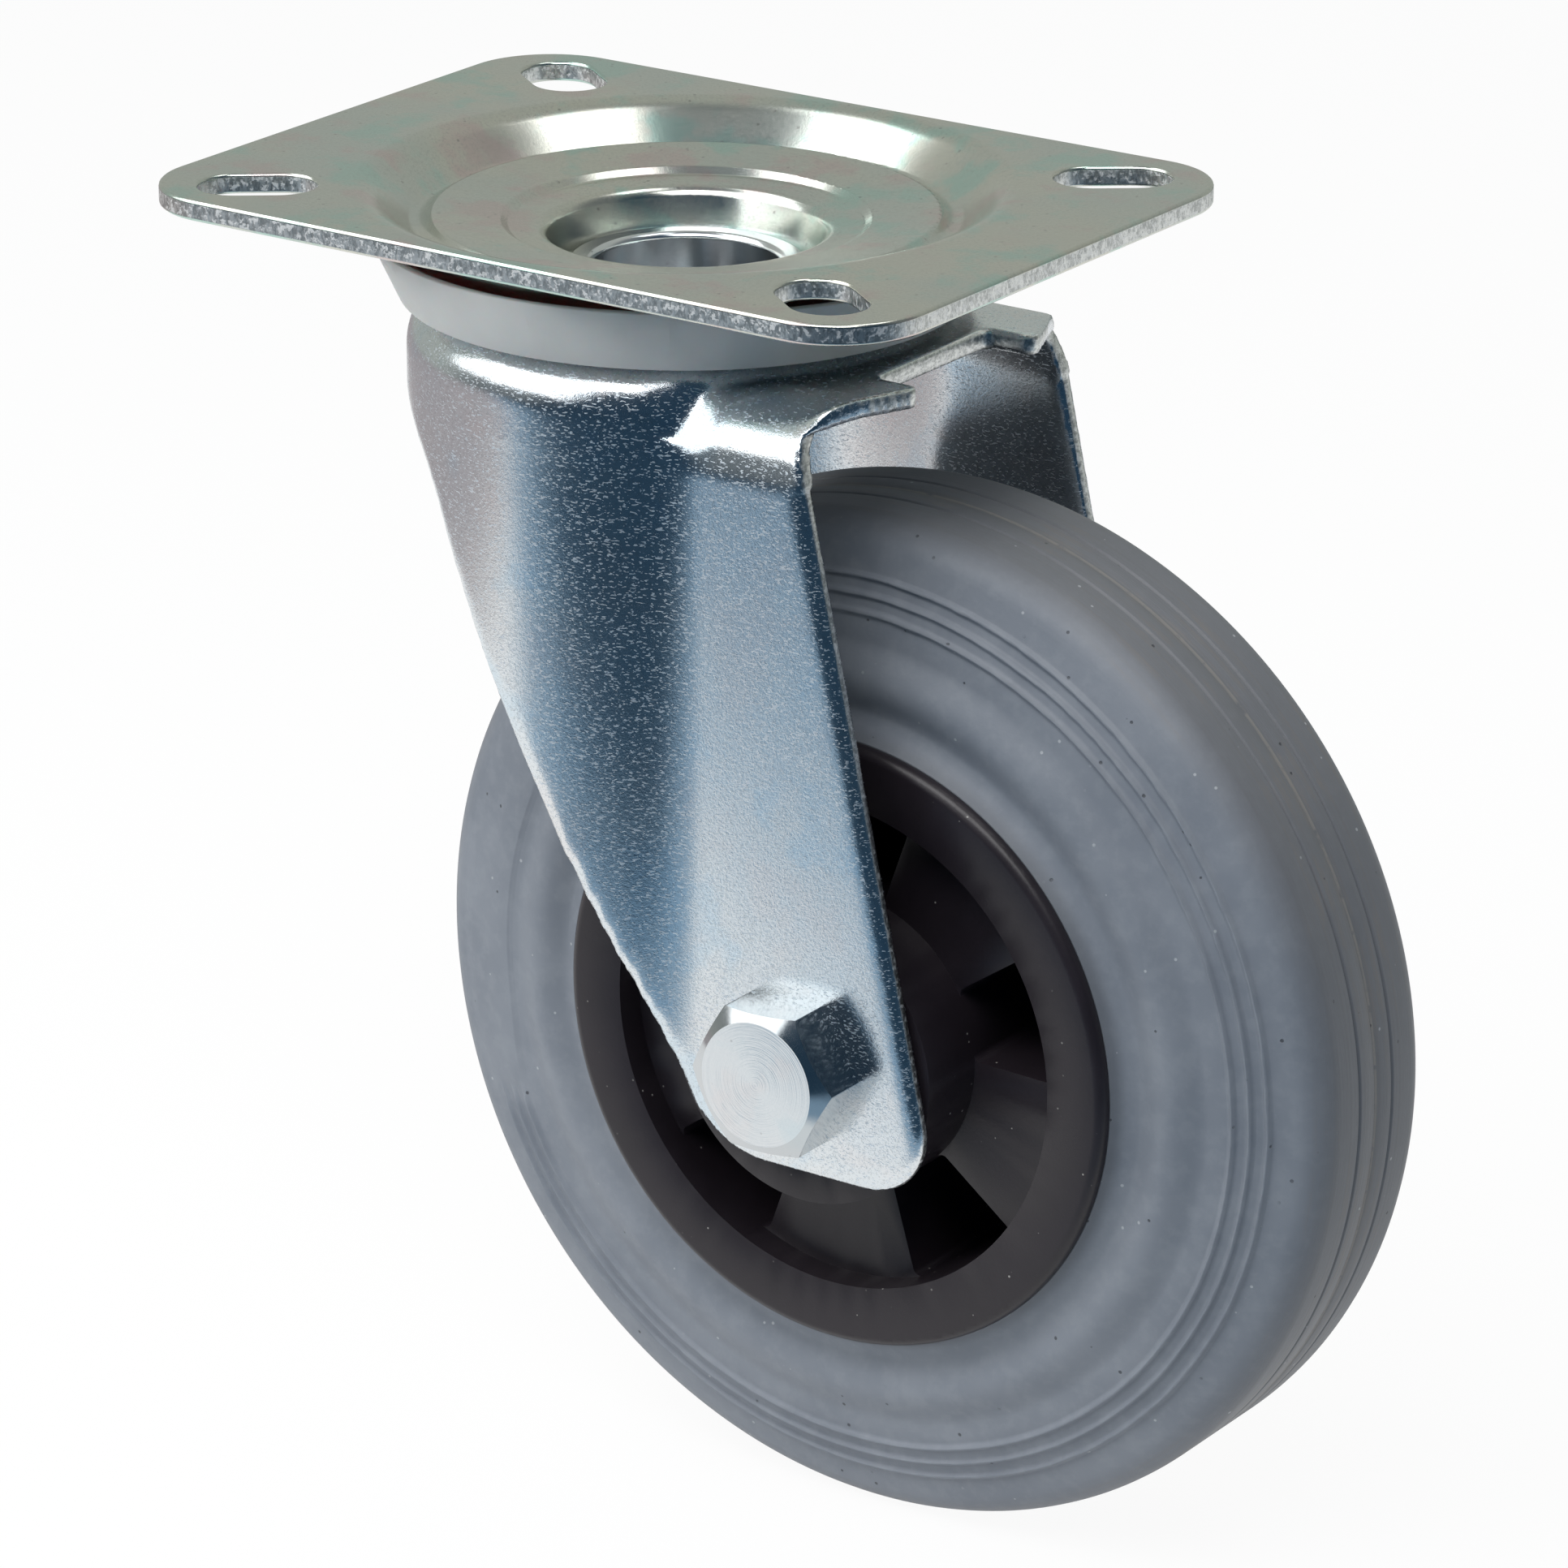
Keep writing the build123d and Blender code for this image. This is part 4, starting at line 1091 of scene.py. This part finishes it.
# %% Draw half of the tyre's section
SEAT_Y, SEAT_R = 15.5, 35.4
LIP_Y, LIP_R = 17.9, 37.8
FLARE_Y, FLARE_R = 15.9, 39.2
BROW_Y, BROW_R = 14.6, 52.1
SHOULDER_Y, TREAD_R = 11.1, WHEEL_R / MM
GROOVE_Y, GROOVE_HALF, GROOVE_DEPTH = 3.6, 0.32, 0.4
FLASH_HALF, FLASH_DEPTH = 0.28, 0.14


def section_point(along_axle, radius):
    """A point of the wheel's section, given in millimetres from the axle's middle."""
    return (AXLE.x + radius * MM, along_axle * MM, AXLE.z)


half_section = [
    (0.0, SEAT_R),
    (SEAT_Y, SEAT_R),
    (LIP_Y, LIP_R),
    (FLARE_Y, FLARE_R),
    (BROW_Y, BROW_R),
    (SHOULDER_Y, TREAD_R),
    (GROOVE_Y + GROOVE_HALF, TREAD_R),
    (GROOVE_Y, TREAD_R - GROOVE_DEPTH),
    (GROOVE_Y - GROOVE_HALF, TREAD_R),
    (2 * FLASH_HALF, TREAD_R),
    (FLASH_HALF, TREAD_R - FLASH_DEPTH),
    (0.0, TREAD_R),
]
LIP, FLARE, BROW, SHOULDER, GROOVE = 2, 3, 4, 5, (6, 7, 8)
section_rounds = {FLARE: 1.6 * MM, BROW: 1.7 * MM, SHOULDER: 3.4 * MM, LIP: 0.25 * MM}
section_rounds.update({corner: 0.1 * MM for corner in GROOVE})
line = rounded_line(
    [section_point(*corner) for corner in half_section], section_rounds, segments=8
)
FLANK_START_R, FLANK_END_R = 39.0 * MM, 60.0 * MM
fine = [
    edge
    for edge in line.edges
    if all(FLANK_START_R < vert.co.x - AXLE.x < FLANK_END_R for vert in edge.verts)
]
print("section points:", len(line.verts), "edges to divide:", len(fine))

# %% Divide the flank finely and spin the section
RIDGE_STEP = 0.20 * MM
TYRE_STEPS = 252
for edge in fine:
    cuts = max(1, round(edge.calc_length() / RIDGE_STEP)) - 1
    if cuts:
        bmesh.ops.subdivide_edges(line, edges=[edge], cuts=cuts)
bmesh.ops.mirror(line, geom=line.verts[:] + line.edges[:], axis="Y", merge_dist=SAME_POINT)
bmesh.ops.remove_doubles(line, verts=line.verts, dist=SAME_POINT)
tyre_form = spun(line, AXLE, AXLE_AXIS, TYRE_STEPS)
print("tyre skin:", len(tyre_form.faces), "faces")

# %% Raise the ridges, draw the edge of the bare arc and sink the hollow
RIDGE_TOPS = (52.3, 54.3, 56.3)
RIDGE_RISE, RIDGE_FALL, RIDGE_HEIGHT = 0.72, 0.30, 0.60
BARE_START, BARE_END = 142.3, 202.3
ARC_LINE_R, ARC_BOW, ARC_STEP = 51.3, 1.2, 0.16
ARC_END_RISE, ARC_END_RUN = 5.5, 3.5
ARC_FADE_R, ARC_FADE = 57, 2
LINE_DEPTH, LINE_HALF = 0.12, 0.3
ARC_SOFTNESS, BARE_FADE = 0.35, 2.5
RAGGED, LONG_SWINGS, SHORT_SWINGS = 0.10, 6, 40
HOLLOW_R, HOLLOW_REACH, HOLLOW_DEPTH = 44.8, 4.3, 1.2
MOVED_Y, MOVED_R = 10 * MM, (40, 59)


def ridge(radius):
    """Height of the ridges at a radius, from 0 to 1."""
    height = 0.0
    for top in RIDGE_TOPS:
        gap = radius - top
        run = RIDGE_FALL if gap > 0 else RIDGE_RISE
        height = max(height, smooth_step(1 - abs(gap) / run))
    return height


def flank_rise(radius, turn):
    """How far the flank stands out at a radius and an angle, in millimetres."""
    way_x, way_z = math.cos(turn), math.sin(turn)
    place = (way_x * LONG_SWINGS, way_z * LONG_SWINGS, 0.5)
    wobble = mathutils.noise.noise(place) * RAGGED
    place = (way_x * SHORT_SWINGS, way_z * SHORT_SWINGS, radius * 0.9)
    ragged = mathutils.noise.noise(place) * RAGGED
    degrees = math.degrees(turn) % 360
    inside = min(degrees - BARE_START, BARE_END - degrees)
    bare = smooth_step(inside / BARE_FADE + 0.5)
    rise = ridge(radius + wobble + ragged) * (RIDGE_HEIGHT + ragged) * (1 - bare)
    if inside > 0:
        share = inside / (BARE_END - BARE_START) * 2
        edge_r = ARC_LINE_R + ARC_END_RISE * (1 - smooth_step(inside / ARC_END_RUN))
        edge_r -= ARC_BOW * smooth_step(share * 2)
        faded = 1 - smooth_step((radius - ARC_FADE_R) / ARC_FADE)
        rise += ARC_STEP * smooth_step((radius - edge_r) / ARC_SOFTNESS) * faded
        rise -= LINE_DEPTH * max(0.0, 1 - abs(radius - edge_r) / LINE_HALF)
    return rise - HOLLOW_DEPTH * dome(abs(radius - HOLLOW_R) / HOLLOW_REACH)


for vert in tyre_form.verts:
    offset = vert.co - AXLE
    radius = math.hypot(offset.x, offset.z) / MM
    if abs(offset.y) > MOVED_Y and MOVED_R[0] < radius < MOVED_R[1]:
        turn = math.atan2(offset.z, offset.x)
        vert.co.y += math.copysign(flank_rise(radius, turn) * MM, offset.y)
finished(tyre_form, "tyre_moulding", [TYRE_RUBBER], "wheel", "tyre")

# %% [markdown]
# ## The hardware
#
# The bolt, its nut, the dust seal and the hub's washers are forged, moulded or
# stamped to the shapes of their solids. A small live bevel is enough for the seal
# and the washers. A hexagon has short edges between its chamfer and its sides
# that would choke one, so its long corners are rolled in the mesh, the rest stay
# crisp, and each face carries a number that tells forged sides from turned ends.
# The same number paints the sides and chamfers darker, as painted shade.

# %% Copy the bolt and the nut and roll the corners of their hexagons
CRISP, HEXAGON_CORNER = math.radians(18), 0.9
END_ON, SIDEWAYS, SIDE_ON, CHAMFER_SHARE = 0.97, 0.3, 0.01, 0.6


def between_hexagon_sides(edge):
    """True for an edge between two of a hexagon's flat sides."""
    both_sides = all(abs(face.normal.y) < SIDE_ON for face in edge.link_faces)
    return both_sides and edge.calc_face_angle() > HEXAGON_CORNER


def forged_and_shaded_share(face):
    """1 on a forged side, 0 on a turned end and between them on a chamfer. The share also sets
    the painted shade that darkens sides and chamfers.
    """
    facing = abs(face.normal.y)
    if facing > END_ON:
        return 0.0
    return CHAMFER_SHARE if facing > SIDEWAYS else 1.0


for node, name, reach in (("axle_bolt", "bolt_forging", 0.14), ("lock_nut", "nut_forging", 0.12)):
    form = flats_made_whole(merged_copy(node))
    count = roll_edges(form, reach * MM, 2, between_hexagon_sides)
    form.normal_update()
    # Each face carries its forged share, which also sets the painted shade of its sides and
    # chamfers.
    forged = form.faces.layers.float.new("forged")
    for face in form.faces:
        face[forged] = forged_and_shaded_share(face)
    for edge in form.edges:
        if len(edge.link_faces) == 2 and edge.calc_face_angle() > CRISP:
            edge.smooth = False
    finished(form, name, [BOLT_ZINC], "fork", node)
    print("hexagon edges rolled:", count)

# %% Copy and soften the seal and the washers
SOFTENED = {
    "dust_seal": ("seal_moulding", SEAL_PLASTIC, "fork", "seal_plastic", 0.25),
    "near_hub_washer": ("near_washer", RACE_STEEL, "wheel", "race_steel", 0.10),
    "far_hub_washer": ("far_washer", RACE_STEEL, "wheel", "race_steel", 0.10),
}
for node, (name, material, body, slot, reach) in SOFTENED.items():
    form = flats_made_whole(merged_copy(node))
    soften(finished(form, name, [material], body, node), reach * MM, 25.0)

# %% [markdown]
# ## The solids that keep their own shape
#
# Balls, rollers, races, the tube and the hollow kingpin are turned parts whose
# solids already have their rounds, and the cage and the nut's insert hardly show.
# They only take a finish.

# %% Dress the nodes that keep their own shape
KEPT = {
    "kingpin": KINGPIN_ZINC,
    "lower_race": RACE_STEEL,
    "upper_balls": BALL_STEEL,
    "lower_balls": BALL_STEEL,
    "nut_insert": INSERT_PLASTIC,
    "axle_tube": RACE_STEEL,
    "roller_cage": CAGE_PLASTIC,
    "rollers": BALL_STEEL,
}
for name, material in KEPT.items():
    mesh = nodes[name].data
    mesh.materials.clear()
    mesh.materials.append(material)
print("dressed:", ", ".join(KEPT))
